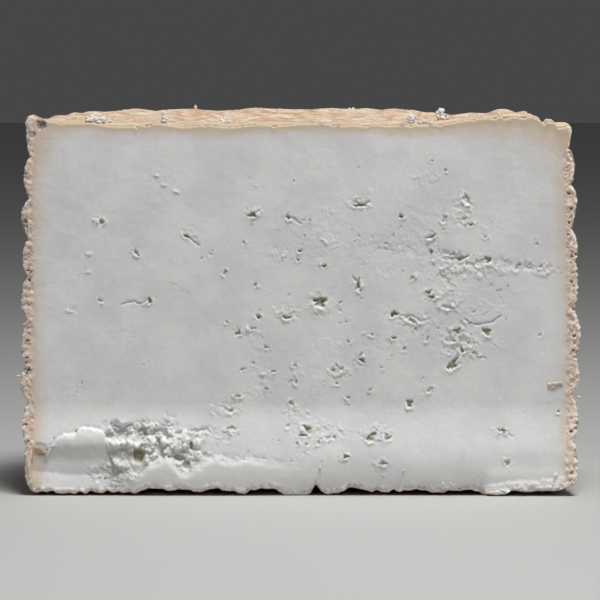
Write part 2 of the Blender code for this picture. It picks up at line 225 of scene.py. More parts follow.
# Openings in the paste, in three groups by how dark they look: x, z, half length, half width, tilt in degrees
DARK_OPENINGS = (
    (4.7, 45.8, 1.7, 1.5, 0), (36.1, 31.1, 2.1, 1.0, 57), (25.9, 21.7, 1.1, 1.0, 45), (22.2, 42.9, 1.1, 0.8, 20),
    (44.1, 38.7, 1.2, 0.9, -45), (-35.4, 46.0, 0.9, 0.5, -75), (23.8, 66.0, 0.7, 0.5, -45),
)
CLEAR_OPENINGS = (
    (17.0, 13.9, 1.7, 0.9, 50), (20.5, 13.9, 1.0, 0.9, 0), (1.7, 15.7, 1.5, 0.9, -60), (0.6, 14.3, 1.3, 0.4, 10),
    (-11.3, 66.3, 1.2, 0.7, 20), (44.3, 55.7, 1.2, 0.8, -20), (-3.1, 42.1, 1.5, 0.5, -5), (38.2, 56.1, 1.7, 0.6, 20),
    (19.6, 7.8, 1.1, 0.6, 0), (14.2, 68.6, 1.8, 0.5, 5), (38.2, 34.6, 1.4, 0.5, -70), (-14.6, 38.4, 1.0, 0.6, 40),
    (30.9, 61.1, 1.4, 0.5, 25), (13.7, 49.8, 1.6, 0.5, 80), (10.8, 9.4, 0.9, 0.5, 10), (37.2, 39.0, 1.0, 0.9, -45),
    (-9.7, 42.2, 0.7, 0.6, 70), (30.9, 57.5, 0.8, 0.5, 80), (40.3, 64.0, 0.7, 0.5, 0), (5.7, 54.2, 0.9, 0.4, 5),
    (0.0, 57.8, 0.7, 0.4, 15), (-0.5, 55.7, 0.5, 0.4, 0), (-26.7, 61.3, 0.8, 0.5, -20), (31.1, 46.9, 0.9, 0.5, -20),
    (-46.7, 64.6, 0.9, 0.7, 70), (-38.6, 57.3, 1.2, 0.4, -48), (22.2, 37.2, 0.7, 0.5, 0), (14.7, 31.8, 1.0, 0.5, -35),
    (47.6, 15.3, 1.1, 0.5, -20), (-2.8, 65.8, 1.0, 0.4, -65), (30.4, 48.1, 0.9, 0.5, 0),
)
FAINT_OPENINGS = (
    (39.2, 70.0, 1.6, 0.8, -60), (34.7, 44.5, 2.1, 0.5, -10), (26.0, 41.5, 2.3, 0.6, -30), (38.7, 65.3, 0.9, 0.6, 70),
    (34.0, 65.3, 1.3, 0.5, 60), (-13.3, 59.9, 0.5, 0.4, 0), (-47.2, 46.0, 0.7, 0.4, -30), (48.8, 8.0, 1.0, 0.8, -80),
    (-2.1, 21.8, 0.9, 0.6, -50), (-16.3, 15.8, 1.7, 0.6, -5), (-16.3, 19.9, 0.9, 0.5, 0), (51.4, 54.2, 1.3, 0.6, 60),
    (56.8, 54.2, 0.8, 0.4, 60), (36.1, 57.3, 0.6, 0.6, 0), (41.3, 33.6, 1.0, 0.5, -20), (30.7, 25.0, 1.1, 0.5, 45),
    (26.4, 51.4, 0.8, 0.5, 40), (-17.7, 52.8, 0.9, 0.4, 60), (14.5, 33.4, 0.7, 0.4, 50), (7.8, 29.5, 0.8, 0.6, 0),
    (9.9, 29.8, 0.8, 0.6, 40), (8.6, 30.8, 0.5, 0.4, 90), (-10.6, 49.8, 0.6, 0.4, -40), (-17.2, 41.0, 0.5, 0.4, 0),
    (-11.1, 31.3, 0.5, 0.4, 30), (-8.2, 35.1, 0.6, 0.4, -20), (-11.2, 39.5, 1.0, 0.4, 0), (-13.4, 29.8, 1.0, 0.3, 10),
    (-6.3, 29.3, 0.8, 0.3, 0), (-1.2, 30.7, 0.5, 0.4, 0), (-1.0, 27.0, 0.7, 0.4, 70), (-8.1, 25.2, 0.8, 0.3, -10),
    (27.3, 39.2, 0.8, 0.4, -75), (30.1, 36.9, 0.8, 0.4, 60), (24.6, 34.7, 0.6, 0.4, 70), (19.2, 30.2, 0.5, 0.4, -30),
    (17.0, 38.0, 0.5, 0.3, -50), (11.4, 36.4, 0.5, 0.4, 0), (11.3, 23.1, 0.8, 0.4, 0), (16.5, 24.9, 0.6, 0.4, 0),
    (8.7, 26.5, 0.5, 0.3, 0), (-14.7, 23.4, 1.0, 0.4, 0), (34.2, 76.8, 0.5, 0.4, 0), (43.6, 61.1, 0.7, 0.4, 0),
    (61.1, 19.8, 0.5, 0.4, 0), (6.6, 13.6, 0.9, 0.5, 10), (35.5, 36.8, 1.5, 0.8, 0), (39.8, 35.8, 1.0, 0.4, -40),
    (8.1, 13.8, 0.5, 0.4, 0), (4.4, 12.6, 0.5, 0.4, 60), (1.5, 12.2, 0.5, 0.4, 0), (-0.7, 12.3, 0.6, 0.4, 70),
    (-2.8, 16.5, 0.8, 0.4, 55), (56.6, 38.0, 0.7, 0.4, 60),
)
OPENING_GROUPS = ((DARK_OPENINGS, 1.2), (CLEAR_OPENINGS, 0.75), (FAINT_OPENINGS, 0.45))

# Torn flakes that stand proud of the cut: x, z, half length, half width, tilt in degrees, height
FLAKES = (
    (-54.2, 43.5, 1.2, 0.5, -10, 0.3), (-49.8, 57.1, 0.9, 0.4, 0, 0.3), (-50.1, 52.7, 1.0, 0.4, 0, 0.3),
    (-29.0, 71.7, 1.1, 0.3, -20, 0.3), (-32.1, 73.3, 0.9, 0.3, -20, 0.3), (60.1, 4.7, 1.0, 0.3, 75, 0.8),
    (8.6, 28.4, 1.4, 0.4, 5, 0.3), (8.4, 25.8, 1.4, 0.3, 0, 0.25), (14.9, 38.3, 1.0, 0.3, 15, 0.25),
    (14.9, 32.8, 0.5, 0.3, 20, 0.4), (4.8, 44.9, 0.8, 0.5, -10, 0.5), (-1.2, 26.0, 1.0, 0.3, -15, 0.3),
    (0.3, 15.7, 0.9, 0.5, -60, 0.4), (37.4, 38.7, 0.5, 0.4, 0, 0.4),
)

# Flakes torn up beside the openings and in the rough patches: half length, half width and height of each
TORN_HALF = (0.45, 1.35)
TORN_WIDTH = (0.16, 0.42)
TORN_RISE = (0.16, 0.36)
TORN_PER_PATCH = 0.5
OPENING_WALL = (1.06, 0.76)
FLAKE_EDGE = (1.2, 0.7)
OPENING_RAG = 0.34
OPENING_RAG_SIZE = 0.9
TORN_ROUND_OPENINGS = (2.1, 1.1, 0.3)

# Fine scattered pits, thickest right of the middle
SCATTERED = 250
SCATTER_HALF = (0.13, 0.34)
SCATTER_MIDDLE = (22.0, 46.0)
SCATTER_SPREAD = (32.0, 28.0)
SCATTER_DEPTH = 1.3
CHIP_RISE = 0.2
PIT_SHARE = 0.75
PIT_SIZE_SHARE = 0.82
FLAKE_SHARE = 0.7

# Hairline cracks: points x and z along each
CRACKS = (
    ((-35.6, 46.2), (-37.5, 45.4), (-39.6, 45.9), (-42.0, 45.3)),
    ((22.1, 43.0), (24.3, 42.4), (26.6, 42.6), (28.8, 41.0)),
    ((38.8, 41.7), (41.5, 40.3), (45.0, 40.8), (47.2, 42.5)),
    ((47.6, 15.6), (49.0, 15.0), (50.0, 13.9)),
    ((-3.1, 66.0), (-1.6, 65.6), (0.3, 64.2)),
    ((14.4, 68.6), (12.9, 69.5)),
    ((14.4, 68.6), (16.4, 69.4)),
    ((-26.8, 61.3), (-25.0, 60.1), (-23.8, 59.0)),
    ((-11.2, 66.3), (-9.6, 67.4)),
    ((12.5, 51.8), (14.3, 48.4)),
    ((41.0, 32.9), (43.8, 32.5)),
    ((-57.9, 13.6), (-59.4, 11.2), (-60.3, 9.8), (-62.1, 9.6)),
)
CRACK_HALF = 0.13
CRACK_DEPTH = 0.35

# Crumbly fault that runs from the middle to the right, as in the solid
FAULT = ((9.0, 59.7), (30.7, 57.8), (37.0, 56.2), (44.8, 55.4), (52.0, 54.2), (60.0, 53.2))
FAULT_ENDS = (9.0, 30.7, 58.0, 61.0)
FAULT_EDGE = (1.7, 0.4)
FAULT_DEPTH = 0.3
FAULT_RELIEF = 0.6

# Rough torn patches of the paste: x, z, half width, half height, roughness
ROUGH_PATCHES = (
    (40.1, 53.8, 9.0, 2.8, 0.8), (57.8, 53.3, 3.5, 1.6, 0.5), (23.6, 58.7, 6.0, 0.6, 0.25), (38.2, 67.0, 2.6, 4.6, 0.45),
    (31.1, 60.4, 2.0, 3.0, 0.5), (35.4, 46.2, 5.0, 4.0, 0.45), (37.7, 35.6, 4.0, 5.5, 0.8), (27.1, 41.5, 4.5, 2.0, 0.5),
    (30.7, 47.2, 2.2, 2.0, 0.7), (44.1, 38.4, 2.0, 2.0, 0.6), (42.0, 43.9, 3.0, 3.0, 0.25), (-3.5, 43.4, 3.8, 2.2, 0.6),
    (4.2, 45.0, 3.0, 3.0, 0.5), (-9.9, 36.8, 1.8, 5.0, 0.25), (-14.2, 39.2, 3.0, 1.6, 0.4), (-0.9, 29.7, 1.6, 4.0, 0.25),
    (9.4, 29.2, 2.6, 2.0, 0.5), (14.4, 32.5, 1.5, 2.0, 0.5), (-18.4, 20.3, 4.5, 1.8, 0.5), (4.7, 15.1, 6.0, 3.0, 0.5),
    (-0.7, 19.1, 4.0, 2.5, 0.35), (17.9, 13.9, 4.2, 2.4, 0.7), (10.6, 9.2, 1.6, 1.4, 0.5), (19.1, 7.5, 2.6, 1.8, 0.5),
    (47.2, 15.3, 2.6, 1.6, 0.6), (48.6, 8.5, 1.8, 2.0, 0.4), (1.2, 10.4, 2.5, 1.5, 0.3), (-11.3, 67.0, 2.4, 1.8, 0.5),
    (-2.8, 65.8, 1.6, 1.8, 0.4), (-5.2, 56.8, 4.0, 2.0, 0.3), (8.3, 59.2, 2.4, 2.0, 0.3), (13.4, 69.1, 3.0, 1.8, 0.4),
    (7.1, 67.0, 2.0, 1.5, 0.3), (13.4, 49.5, 1.6, 2.4, 0.4), (-47.2, 64.6, 1.8, 1.6, 0.4), (-38.4, 57.5, 1.6, 1.6, 0.4),
    (-35.8, 45.8, 2.6, 1.2, 0.4), (-54.2, 43.4, 2.0, 1.2, 0.3), (-50.7, 52.8, 2.5, 1.4, 0.2), (-17.7, 52.8, 1.6, 1.6, 0.25),
    (-25.9, 61.6, 3.0, 2.0, 0.25), (-33.0, 75.0, 3.5, 2.0, 0.15), (30.7, 74.5, 4.0, 2.0, 0.25), (-41.3, 39.2, 1.5, 1.2, 0.2),
    (47.2, 35.6, 3.0, 3.0, 0.15), (29.5, 25.0, 1.8, 1.2, 0.3), (-8.5, 27.5, 3.0, 4.0, 0.3),
    (-13.0, 23.4, 3.0, 1.6, 0.3), (-43.5, 4.4, 6.4, 3.2, 0.9),
)
ROUGH_RELIEF = 0.5
FEATHER_RELIEF = 0.08
ROUGH_EDGE = (1.2, 0.5)

# Grey mould: x, z, size and share
MOULD_SPOTS = (
    (-60.8, 87.7, 1.7, 0.85), (-63.1, 85.1, 1.0, 0.45), (24.1, 87.7, 0.9, 0.8), (30.9, 87.6, 0.7, 0.6),
    (5.2, 87.8, 0.7, 0.6), (9.0, 87.7, 0.7, 0.6),
)

# Mesh fineness, and the triangles each piece is thinned to
RIND_CELL = 0.36
RIND_ROWS = 92
FACE_CELL = 0.26
RIND_TRIANGLES = 188000
FACE_TRIANGLES = 188000
WELD_GAP = 0.0005

# One fixed draw for each kind of unevenness
WAVE_SEED = 11
LEDGE_SEED = 21
HOLLOW_SEED = 22
OPENING_SEEDS = (31, 32)
BEND_SEED = 51
LUMP_SEED = 52
STRAND_SEED = 53
WRINKLE_SEED = 54
PIT_SEED = 55
HEM_SEED = 56
LIP_SEED = 57
GRAIN_SEED = 61
SCATTER_SEED = 71
TORN_SEED = 74
CRUMB_SEED = 72
FLAKE_SEED = 73


def lattice(i, j, k, seed):
    """Fixed random values from -1 to 1 at whole-number points."""
    n = (i * 374761393 + j * 668265263 + k * 1440662683 + seed * 1013904223) & 0xFFFFFFFF
    n = ((n ^ (n >> 15)) * 2246822519) & 0xFFFFFFFF
    n = ((n ^ (n >> 13)) * 3266489917) & 0xFFFFFFFF
    return (n ^ (n >> 16)) / 0x7FFFFFFF - 1.0


def noise(x, y, z, size, seed):
    """Smooth noise from -1 to 1 with bumps of about this size."""
    cells, parts = [], []
    for value in np.broadcast_arrays(x, y, z):
        whole = np.floor(value / size)
        part = value / size - whole
        cells.append(whole.astype(np.int64))
        parts.append(part * part * (3.0 - 2.0 * part))
    total = 0.0
    for corner in itertools.product((0, 1), repeat=3):
        weight = 1.0
        for part, far in zip(parts, corner):
            weight = weight * (part if far else 1.0 - part)
        at = [cell + far for cell, far in zip(cells, corner)]
        total = total + weight * lattice(*at, seed)
    return total


def shards(x, z, size, seed):
    """Broken curd: flat pieces at uneven heights and tilts, from about -1 to 1, with cracks between them."""
    i, k = np.floor(x / size).astype(np.int64), np.floor(z / size).astype(np.int64)
    nearest = np.full(np.shape(x), 9.0)
    second, height = nearest.copy(), np.zeros(np.shape(x))
    for di, dk in itertools.product((-1, 0, 1), repeat=2):
        column, row = i + di, k + dk
        dx = x / size - column - 0.5 - 0.45 * lattice(column, 0, row, seed)
        dz = z / size - row - 0.5 - 0.45 * lattice(column, 1, row, seed)
        off = np.hypot(dx, dz)
        tilt = lattice(column, 3, row, seed) * dx + lattice(column, 4, row, seed) * dz
        closer = off < nearest
        second = np.where(closer, nearest, np.minimum(second, off))
        height = np.where(closer, 0.7 * lattice(column, 2, row, seed) + 0.8 * tilt, height)
        nearest = np.where(closer, off, nearest)
    return height - 0.5 * ramp(second - nearest, 0.14, 0.0)


def ramp(value, low, high):
    """Smooth step from 0 at low to 1 at high."""
    t = np.clip((value - low) / (high - low), 0.0, 1.0)
    return t * t * (3.0 - 2.0 * t)


def bell(distance, spread):
    return np.exp(-0.5 * (distance / spread) ** 2)


def between(value, ends):
    """1 between the inner two of four ends, falling to 0 at the outer two."""
    return ramp(value, ends[0], ends[1]) * ramp(value, ends[3], ends[2])


# Cut face: depths behind the knife plane, in plan x and z

def settle(x, z):
    """How far the cut surface lies behind the knife plane, details apart. The foot swells forward."""
    wave = KNIFE_WAVE * noise(x, 0.0, z, KNIFE_WAVE_SIZE, WAVE_SEED)
    swell = FOOT_SWELL * ramp(z, FOOT_TOP, FOOT_CREST)
    tuck = FOOT_TUCK * (np.clip(FOOT_CREST - z, 0.0, None) / FOOT_CREST) ** 2
    return wave - swell + tuck


def crumbly(x, z):
    """Height of torn curd, from about -1 to 1: broken pieces of three sizes."""
    wx = x + 0.25 * noise(x, 0.0, z, 0.9, GRAIN_SEED)
    wz = z + 0.25 * noise(x, 1.0, z, 0.9, GRAIN_SEED)
    pieces = 0.45 * shards(wx, wz, 1.7, GRAIN_SEED) + 0.45 * shards(wx, wz, 0.85, GRAIN_SEED + 1)
    return pieces + 0.35 * shards(wx, wz, 0.45, GRAIN_SEED + 2)


def patches(x, z, places):
    """Share of roughness at a point of the cut, from ragged oval patches."""
    rough = np.zeros_like(x)
    ragged = 0.35 * noise(x, 0.0, z, 2.4, GRAIN_SEED) + 0.2 * noise(x, 0.0, z, 0.9, GRAIN_SEED)
    for cx, cz, half_x, half_z, share in places:
        spread = np.hypot((x - cx) / half_x, (z - cz) / half_z) + ragged
        rough = np.maximum(rough, share * ramp(spread, *ROUGH_EDGE))
    return rough


def torn_slab(x, z):
    """The slab's step forward below its ragged upper edge, and the hollows and curds behind it."""
    edge = np.interp(x, *np.array(LEDGE).T)
    ragged = z + LEDGE_RAG * noise(x, 0.0, z, LEDGE_RAG_SIZE, LEDGE_SEED)
    ragged = ragged + 0.5 * LEDGE_RAG * noise(x, 0.0, z, LEDGE_RAG_SIZE / 3.0, LEDGE_SEED)
    below = edge - ragged
    reach = between(x, LEDGE_ENDS)
    slab = ramp(below, -LEDGE_SOFTNESS, LEDGE_SOFTNESS) * reach
    block = ramp(x, *BLOCK_RIGHT) * ramp(x, *BLOCK_LEFT)
    slope = LEDGE_SHARP + (1.0 - LEDGE_SHARP) * np.maximum(ramp(below, 0.0, LEDGE_SLOPE), ramp(x, -44.0, -46.0))
    height = z + 0.5 * noise(x, 0.0, z, 6.0, LEDGE_SEED) + 0.12 * noise(x, 0.0, z, 1.2, LEDGE_SEED)
    foot = np.clip((BLOCK_FOOT[1] - height) / (BLOCK_FOOT[1] - BLOCK_FOOT[2]), 0.0, 1.0)
    sunk = BLOCK_CURL[0] * ramp(height, *BLOCK_CURL[1:]) - BLOCK_FOOT[0] * foot
    tear = np.zeros_like(x)
    for cx, cz, half_x, half_z, deep in HOLLOWS:
        spread = np.hypot((x - cx) / half_x, (z - cz) / half_z)
        spread = spread + HOLLOW_RAG * noise(x, 0.0, z, HOLLOW_RAG_SIZE, HOLLOW_SEED)
        tear = np.maximum(tear, deep * ramp(spread, *HOLLOW_WALL))
    for cx, cz, radius, rise in CURDS:
        off = np.hypot(x - cx, z - cz) + CURD_RAG * radius * noise(x, 0.0, z, 0.8 * radius, HOLLOW_SEED + 1)
        dome = np.clip(1.0 - (off / radius) ** 2, 0.0, 1.0) ** 0.7
        tear = np.minimum(tear, np.maximum(tear - rise * dome, -CURD_PROUD * dome))
    crumbs = crumbly(x, z)
    tear = tear - TORN_RELIEF * patches(x, z, TORN_PATCHES) * crumbs
    fringe = FRINGE_RELIEF * bell(below, 0.6) * reach * crumbs
    return tear * (1.0 - slab) - (LEDGE_STEP * slope - sunk * block) * slab - fringe


def rolled_lip(x, z):
    """How far the rolled lip at the foot's right end stands forward."""
    below = np.interp(x, *np.array(ROLLED_LIP).T) - z + 0.25 * noise(x, 0.0, z, 1.4, LEDGE_SEED)
    bulge = ROLLED_STEP * ramp(below, -0.3, 0.8) + ROLLED_SLOPE * np.clip(below, 0.0, 3.5)
    rough = 0.2 * crumbly(x, z) * ramp(below, 0.0, 0.4)
    lead = ROLLED_LEAD * ramp(z, 9.0, 4.0)
    return (bulge + rough + lead) * between(x, ROLLED_ENDS)


def ragged_spots(x, z, places):
    """For each place the points near it, their distance and turn in its star-shaped outline, and its numbers."""
    warps = []
    for share in (1.0, 3.0):
        size = OPENING_RAG_SIZE / share
        push = OPENING_RAG / share
        warps.append([axis + push * noise(x, 0.0, z, size, seed) for axis, seed in zip((x, z), OPENING_SEEDS)])
    for number, (cx, cz, half_x, half_z, tilt, deep) in enumerate(places):
        half_x, half_z = PIT_SIZE_SHARE * half_x, PIT_SIZE_SHARE * half_z
        size = max(half_x, half_z)
        reach = 2.6 * size + 0.5
        near = np.nonzero((np.abs(x - cx) < reach) & (np.abs(z - cz) < reach))
        small = ramp(half_z, 0.9, 0.3)
        px, pz = [broad[near] + (fine[near] - broad[near]) * small for broad, fine in zip(*warps)]
        px, pz = px - cx, pz - cz
        cos, sin = math.cos(math.radians(tilt)), math.sin(math.radians(tilt))
        along, across = px * cos + pz * sin, pz * cos - px * sin
        turn = np.arctan2(across / half_z, along / half_x)
        points = 0.24 * np.sin(3.0 * turn + number) + 0.16 * np.sin(5.0 * turn + 2.3 * number)
        star = 1.0 + points * min(1.0, 1.3 * deep)
        spread = np.hypot(along / half_x, across / half_z) / star
        uneven = 1.0 + 0.5 * noise(px, number, pz, 0.6 * half_z + 0.1, GRAIN_SEED)
        yield near, spread, turn, size, deep * uneven


def ragged_pits(x, z, pits):
    """Steep-walled ragged pits as depth, with a chip raised beside each, and how torn the paste is round them."""
    depth, torn = np.zeros_like(x), np.zeros_like(x)
    far, close, share = TORN_ROUND_OPENINGS
    for number, (near, spread, turn, size, floor) in enumerate(ragged_spots(x, z, pits)):
        inside = ramp(spread, *OPENING_WALL)
        beside = bell(spread - 1.35, 0.25) * np.clip(0.4 - np.sin(turn + 0.7 * math.sin(number)), 0.0, 1.0)
        chip = CHIP_RISE * min(1.0, 0.3 + size) * beside * (1.0 - inside)
        pit = PIT_SHARE * floor * inside
        depth[near] = np.where(pit > 0.02, np.maximum(depth[near], pit), depth[near] - chip)
        torn[near] = np.maximum(torn[near], share * min(1.0, 1.4 * size) * ramp(spread, far, close))
    return depth, torn


def flakes(x, z):
    """Height of the torn flakes."""
    height = np.zeros_like(x)
    for near, spread, _, _, rise in ragged_spots(x, z, list(FLAKES) + torn_flakes()):
        height[near] = np.maximum(height[near], FLAKE_SHARE * rise * ramp(spread, *FLAKE_EDGE))
    return height


def openings():
    """The openings of all three groups, each with its group's depth."""
    return [(*place, depth) for places, depth in OPENING_GROUPS for place in places]


def torn_flakes():
    """Flakes below and beside each opening and all over the rough patches, drawn once with a fixed seed."""
    draw = np.random.default_rng(TORN_SEED)
    places = []
    for cx, cz, half_x, half_z, tilt, _ in openings():
        for _ in range(1 + (half_x > 1.0)):
            turn = math.radians(draw.normal(-90.0, 55.0))
            lean = turn - math.radians(tilt)
            reach = half_x * half_z / math.hypot(half_z * math.cos(lean), half_x * math.sin(lean))
            off = 0.3 + reach
            places.append((cx + off * math.cos(turn), cz + off * math.sin(turn), math.degrees(turn) + 90.0))
    for cx, cz, half_x, half_z, share in ROUGH_PATCHES[:-1]:
        for _ in range(round(TORN_PER_PATCH * share * half_x * half_z)):
            px, pz = cx + 0.5 * half_x * draw.normal(), cz + 0.5 * half_z * draw.normal()
            places.append((px, pz, draw.uniform(-50.0, 30.0)))
    ranges = (TORN_HALF, TORN_WIDTH, TORN_RISE)
    torn = []
    for px, pz, tilt in places:
        half, width, rise = [low + (high - low) * draw.random() ** 1.5 for low, high in ranges]
        torn.append((px, pz, half, width, tilt + draw.normal(0.0, 15.0), rise))
    return torn


def scattered_pits():
    """Fine pits in loose groups, drawn once with a fixed seed."""
    draw = np.random.default_rng(SCATTER_SEED)
    pits = []
    while len(pits) < SCATTERED:
        x, z = draw.uniform(-61.0, 60.0), draw.uniform(8.0, 83.0)
        far = math.hypot((x - SCATTER_MIDDLE[0]) / SCATTER_SPREAD[0], (z - SCATTER_MIDDLE[1]) / SCATTER_SPREAD[1])
        if draw.random() > 0.08 + 0.92 * math.exp(-far * far):
            continue
        for _ in range(1 + draw.geometric(0.42)):
            half = SCATTER_HALF[0] + (SCATTER_HALF[1] - SCATTER_HALF[0]) * draw.random() ** 3.0
            px, pz = x + draw.normal(0.0, 1.1), z + draw.normal(0.0, 0.8)
            tilt = draw.uniform(-60.0, 60.0)
            pits.append((px, pz, half * draw.uniform(1.0, 1.9), half, tilt, SCATTER_DEPTH * half))
    return pits


def cracks(x, z):
    depth = np.zeros_like(x)
    wx = x + 0.2 * noise(x, 0.0, z, 0.8, OPENING_SEEDS[0])
    wz = z + 0.2 * noise(x, 0.0, z, 0.8, OPENING_SEEDS[1])
    for points in CRACKS:
        for (ax, az), (bx, bz) in itertools.pairwise(points):
            length = math.hypot(bx - ax, bz - az)
            share = np.clip(((wx - ax) * (bx - ax) + (wz - az) * (bz - az)) / length**2, 0.0, 1.0)
            off = np.hypot(wx - ax - share * (bx - ax), wz - az - share * (bz - az))
            depth = np.maximum(depth, CRACK_DEPTH * ramp(off, 2.2 * CRACK_HALF, 0.5 * CRACK_HALF))
    return depth


def fault_share(x, z):
    off = np.abs(z + 0.7 * noise(x, 0.0, z, 1.7, LEDGE_SEED) - np.interp(x, *np.array(FAULT).T))
    uneven = 0.55 + 0.45 * noise(x, 0.0, 0.0, 3.0, LEDGE_SEED)
    return between(x, FAULT_ENDS) * ramp(off, *FAULT_EDGE) * uneven


def waist(z):
    """How the wheel narrows above and below its widest height, as a factor on its radius."""
    return 1.0 - BARREL_CURVE * (z - WIDEST_HEIGHT) ** 2 / RADIUS


def under_rind(x, z):
    """Distance in from the nominal side of the cut, larger at the corners, where the rind is thinner."""
    thin = np.where(x > 0.0, THIN_RIGHT * ramp(z, 80.0, 83.0), THIN_LEFT * np.maximum(ramp(z, 60.0, 74.0), ramp(z, 12.0, 8.0)))
    return RADIUS * waist(z) - np.abs(x) + thin


def cut_rind(x, z):
    """Share of rind at a point of the cut, and the height of the rough strand ends in it."""
    under = under_rind(x, z) + 0.3 * noise(x, 0.0, z, 2.2, LIP_SEED)
    share = ramp(under, CUT_RIND + CUT_RIND_SOFT, CUT_RIND - CUT_RIND_SOFT)
    lean = np.where(noise(0.0, x, z, 7.0, LIP_SEED) > 0.0, 0.8, -0.8)
    phase = (z + lean * under + 0.5 * noise(x, 0.0, z, 2.0, LIP_SEED + 1)) / CUT_PITCH
    ridges = CUT_RIDGE * (np.abs(np.sin(np.pi * phase)) ** 0.8 - 0.6)
    lumps = noise(x, 0.0, z, 0.9, LIP_SEED) + 0.7 * noise(x, 0.0, z, 0.45, LIP_SEED + 1)
    return share, ridges + CUT_LUMPS * lumps


def rounded(distance, radius):
    """Depth of a rounded edge at a distance from its end."""
    part = np.clip(1.0 - distance / radius, 0.0, 1.0)
    return radius * (1.0 - np.sqrt(1.0 - part * part))


def face_depth(x, z, side, end):
    """Depth of the cut surface, that of its details alone, and its roughness.

    Side and end are the distances from the cut's side and from its top or base.
    """
    rind_pits = [(*pit, RIND_PIT_DEPTH) for pit in RIND_PITS]
    pit_depth, round_pits = ragged_pits(x, z, openings() + scattered_pits() + rind_pits)
    fault = fault_share(x, z)
    rough = ROUGH_RELIEF * np.maximum(patches(x, z, ROUGH_PATCHES), round_pits)
    rough = np.maximum(rough, FAULT_RELIEF * fault)
    rough = np.maximum(rough, HEM_CRUMBLE * ramp(end, 1.9, 0.7) * ramp(z, 12.0, 8.0))
    far = np.hypot((x - SCATTER_MIDDLE[0]) / SCATTER_SPREAD[0], (z - SCATTER_MIDDLE[1]) / SCATTER_SPREAD[1])
    rough = np.maximum(rough, FEATHER_RELIEF * ramp(noise(x, 0.0, z, 4.0, GRAIN_SEED), 0.1, 0.5) * ramp(far, 1.4, 0.7))
    pebbly = 0.022 * noise(x, 0.0, z, 1.5, WAVE_SEED) + 0.014 * noise(x, 0.0, z, 0.7, WAVE_SEED)
    drag = 0.008 * noise(x / 9.0, 0.0, z, 0.5, WAVE_SEED) + pebbly
    share, strand_ends = cut_rind(x, z)
    detail = torn_slab(x, z) + cracks(x, z) + FAULT_DEPTH * fault + drag - rough * crumbly(x, z)
    calm = ramp(z, 87.0, 82.0)
    detail = (detail - flakes(x, z)) * (1.0 - share) - strand_ends * share * (0.3 + 0.7 * calm)
    detail = detail + pit_depth - rolled_lip(x, z)
    for cx, cz, radius, deep in DENTS:
        off = np.hypot(x - cx, z - cz) + 0.3 * noise(x, 0.0, z, 0.8, LIP_SEED)
        detail = detail + ramp(off, radius, 0.6 * radius) * (deep + 0.25 * noise(x, 0.0, z, 0.45, LIP_SEED))
    detail = detail * ramp(end, *END_MARGIN)
    return settle(x, z) + detail + rounded(side, SIDE_ROUND) + rounded(end, END_ROUND), detail, rough


def whey_and_shade(x, z):
    """Share of olive colour, where whey gathered in the deep openings and slots, and of painted shade by the slab's
    left block.
    """
    whey_and_shade_tint = 0.85 * ramp(ragged_pits(x, z, openings())[0], 0.2, 0.5)
    for cx, cz, half_x, half_z, share in WHEY_AND_SHADE_PLACES:
        spread = np.hypot((x - cx) / half_x, (z - cz) / half_z) + 0.3 * noise(x, 0.0, z, 1.2, HOLLOW_SEED)
        whey_and_shade_tint = np.maximum(whey_and_shade_tint, share * ramp(spread, 1.2, 0.5))
    return whey_and_shade_tint


# Rind

def profile(along):
    """Nominal radius, height and outward direction at a length along the rind.

    The length runs from the centre of the base over the side to the centre of the top.
    """
    quarter = np.pi / 2.0
    base_end = RADIUS - BASE_CORNER
    side_start = base_end + quarter * BASE_CORNER
    side_end = side_start + HEIGHT - BASE_CORNER - TOP_CORNER
    top_start = side_end + quarter * TOP_CORNER
    low = np.clip((along - base_end) / BASE_CORNER, 0.0, quarter)
    high = np.clip((along - side_end) / TOP_CORNER, 0.0, quarter)
    turn = low + high - quarter
    radius = np.minimum(along, base_end) + BASE_CORNER * np.sin(low)
    radius = radius - TOP_CORNER * (1.0 - np.cos(high)) - np.clip(along - top_start, 0.0, None)
    height = BASE_CORNER * (1.0 - np.cos(low)) + TOP_CORNER * np.sin(high)
    height = height + np.clip(along - side_start, 0.0, side_end - side_start)
    return radius, height, np.cos(turn), np.sin(turn)


RIND_LENGTH = 2.0 * RADIUS + HEIGHT - (2.0 - np.pi / 2.0) * (BASE_CORNER + TOP_CORNER)
BASE_SHARE = RADIUS - BASE_CORNER + BASE_CORNER * np.pi / 4.0
TOP_SHARE = RADIUS - TOP_CORNER + TOP_CORNER * np.pi / 4.0


def top_shape(x, y):
    """Height of the top against its rim."""
    share = np.hypot(x, y) / RADIUS
    dish = -DISH_DEPTH * (1.0 - np.clip(share, 0.0, 1.0) ** DISH_POWER)
    rim = np.interp(x, *np.array(RIM).T) * ramp(share, *RIM_SHARE)
    cut_rim = np.interp(x, *np.array(CUT_RIM).T) * bell(y, CUT_RIM_SPREAD)
    swell = SWELL_RISE * bell(np.hypot(x - SWELL_PLACE, y), SWELL_SPREAD)
    return dish + rim + cut_rim + swell


def coil_number(angle, z):
    """Which coil lies at this height, as a number that is whole in the grooves."""
    numbers = np.arange(len(GROOVES_LEFT))
    left = np.interp(z, GROOVES_LEFT, numbers)
    right = np.interp(z, GROOVES_RIGHT, numbers)
    return right + (left - right) * angle / np.pi


def coil_bend(x, y, z):
    return COIL_BEND * noise(x, y, z, COIL_BEND_SIZE, BEND_SEED) * ramp(y, *COIL_BEND_FROM)


def coils(place):
    """Rounded ridges with narrow grooves between them, at whole numbers."""
    bulge = np.abs(np.sin(np.pi * place)) ** COIL_SHAPE
    return (COIL_CREST + COIL_GROOVE) * bulge - COIL_GROOVE


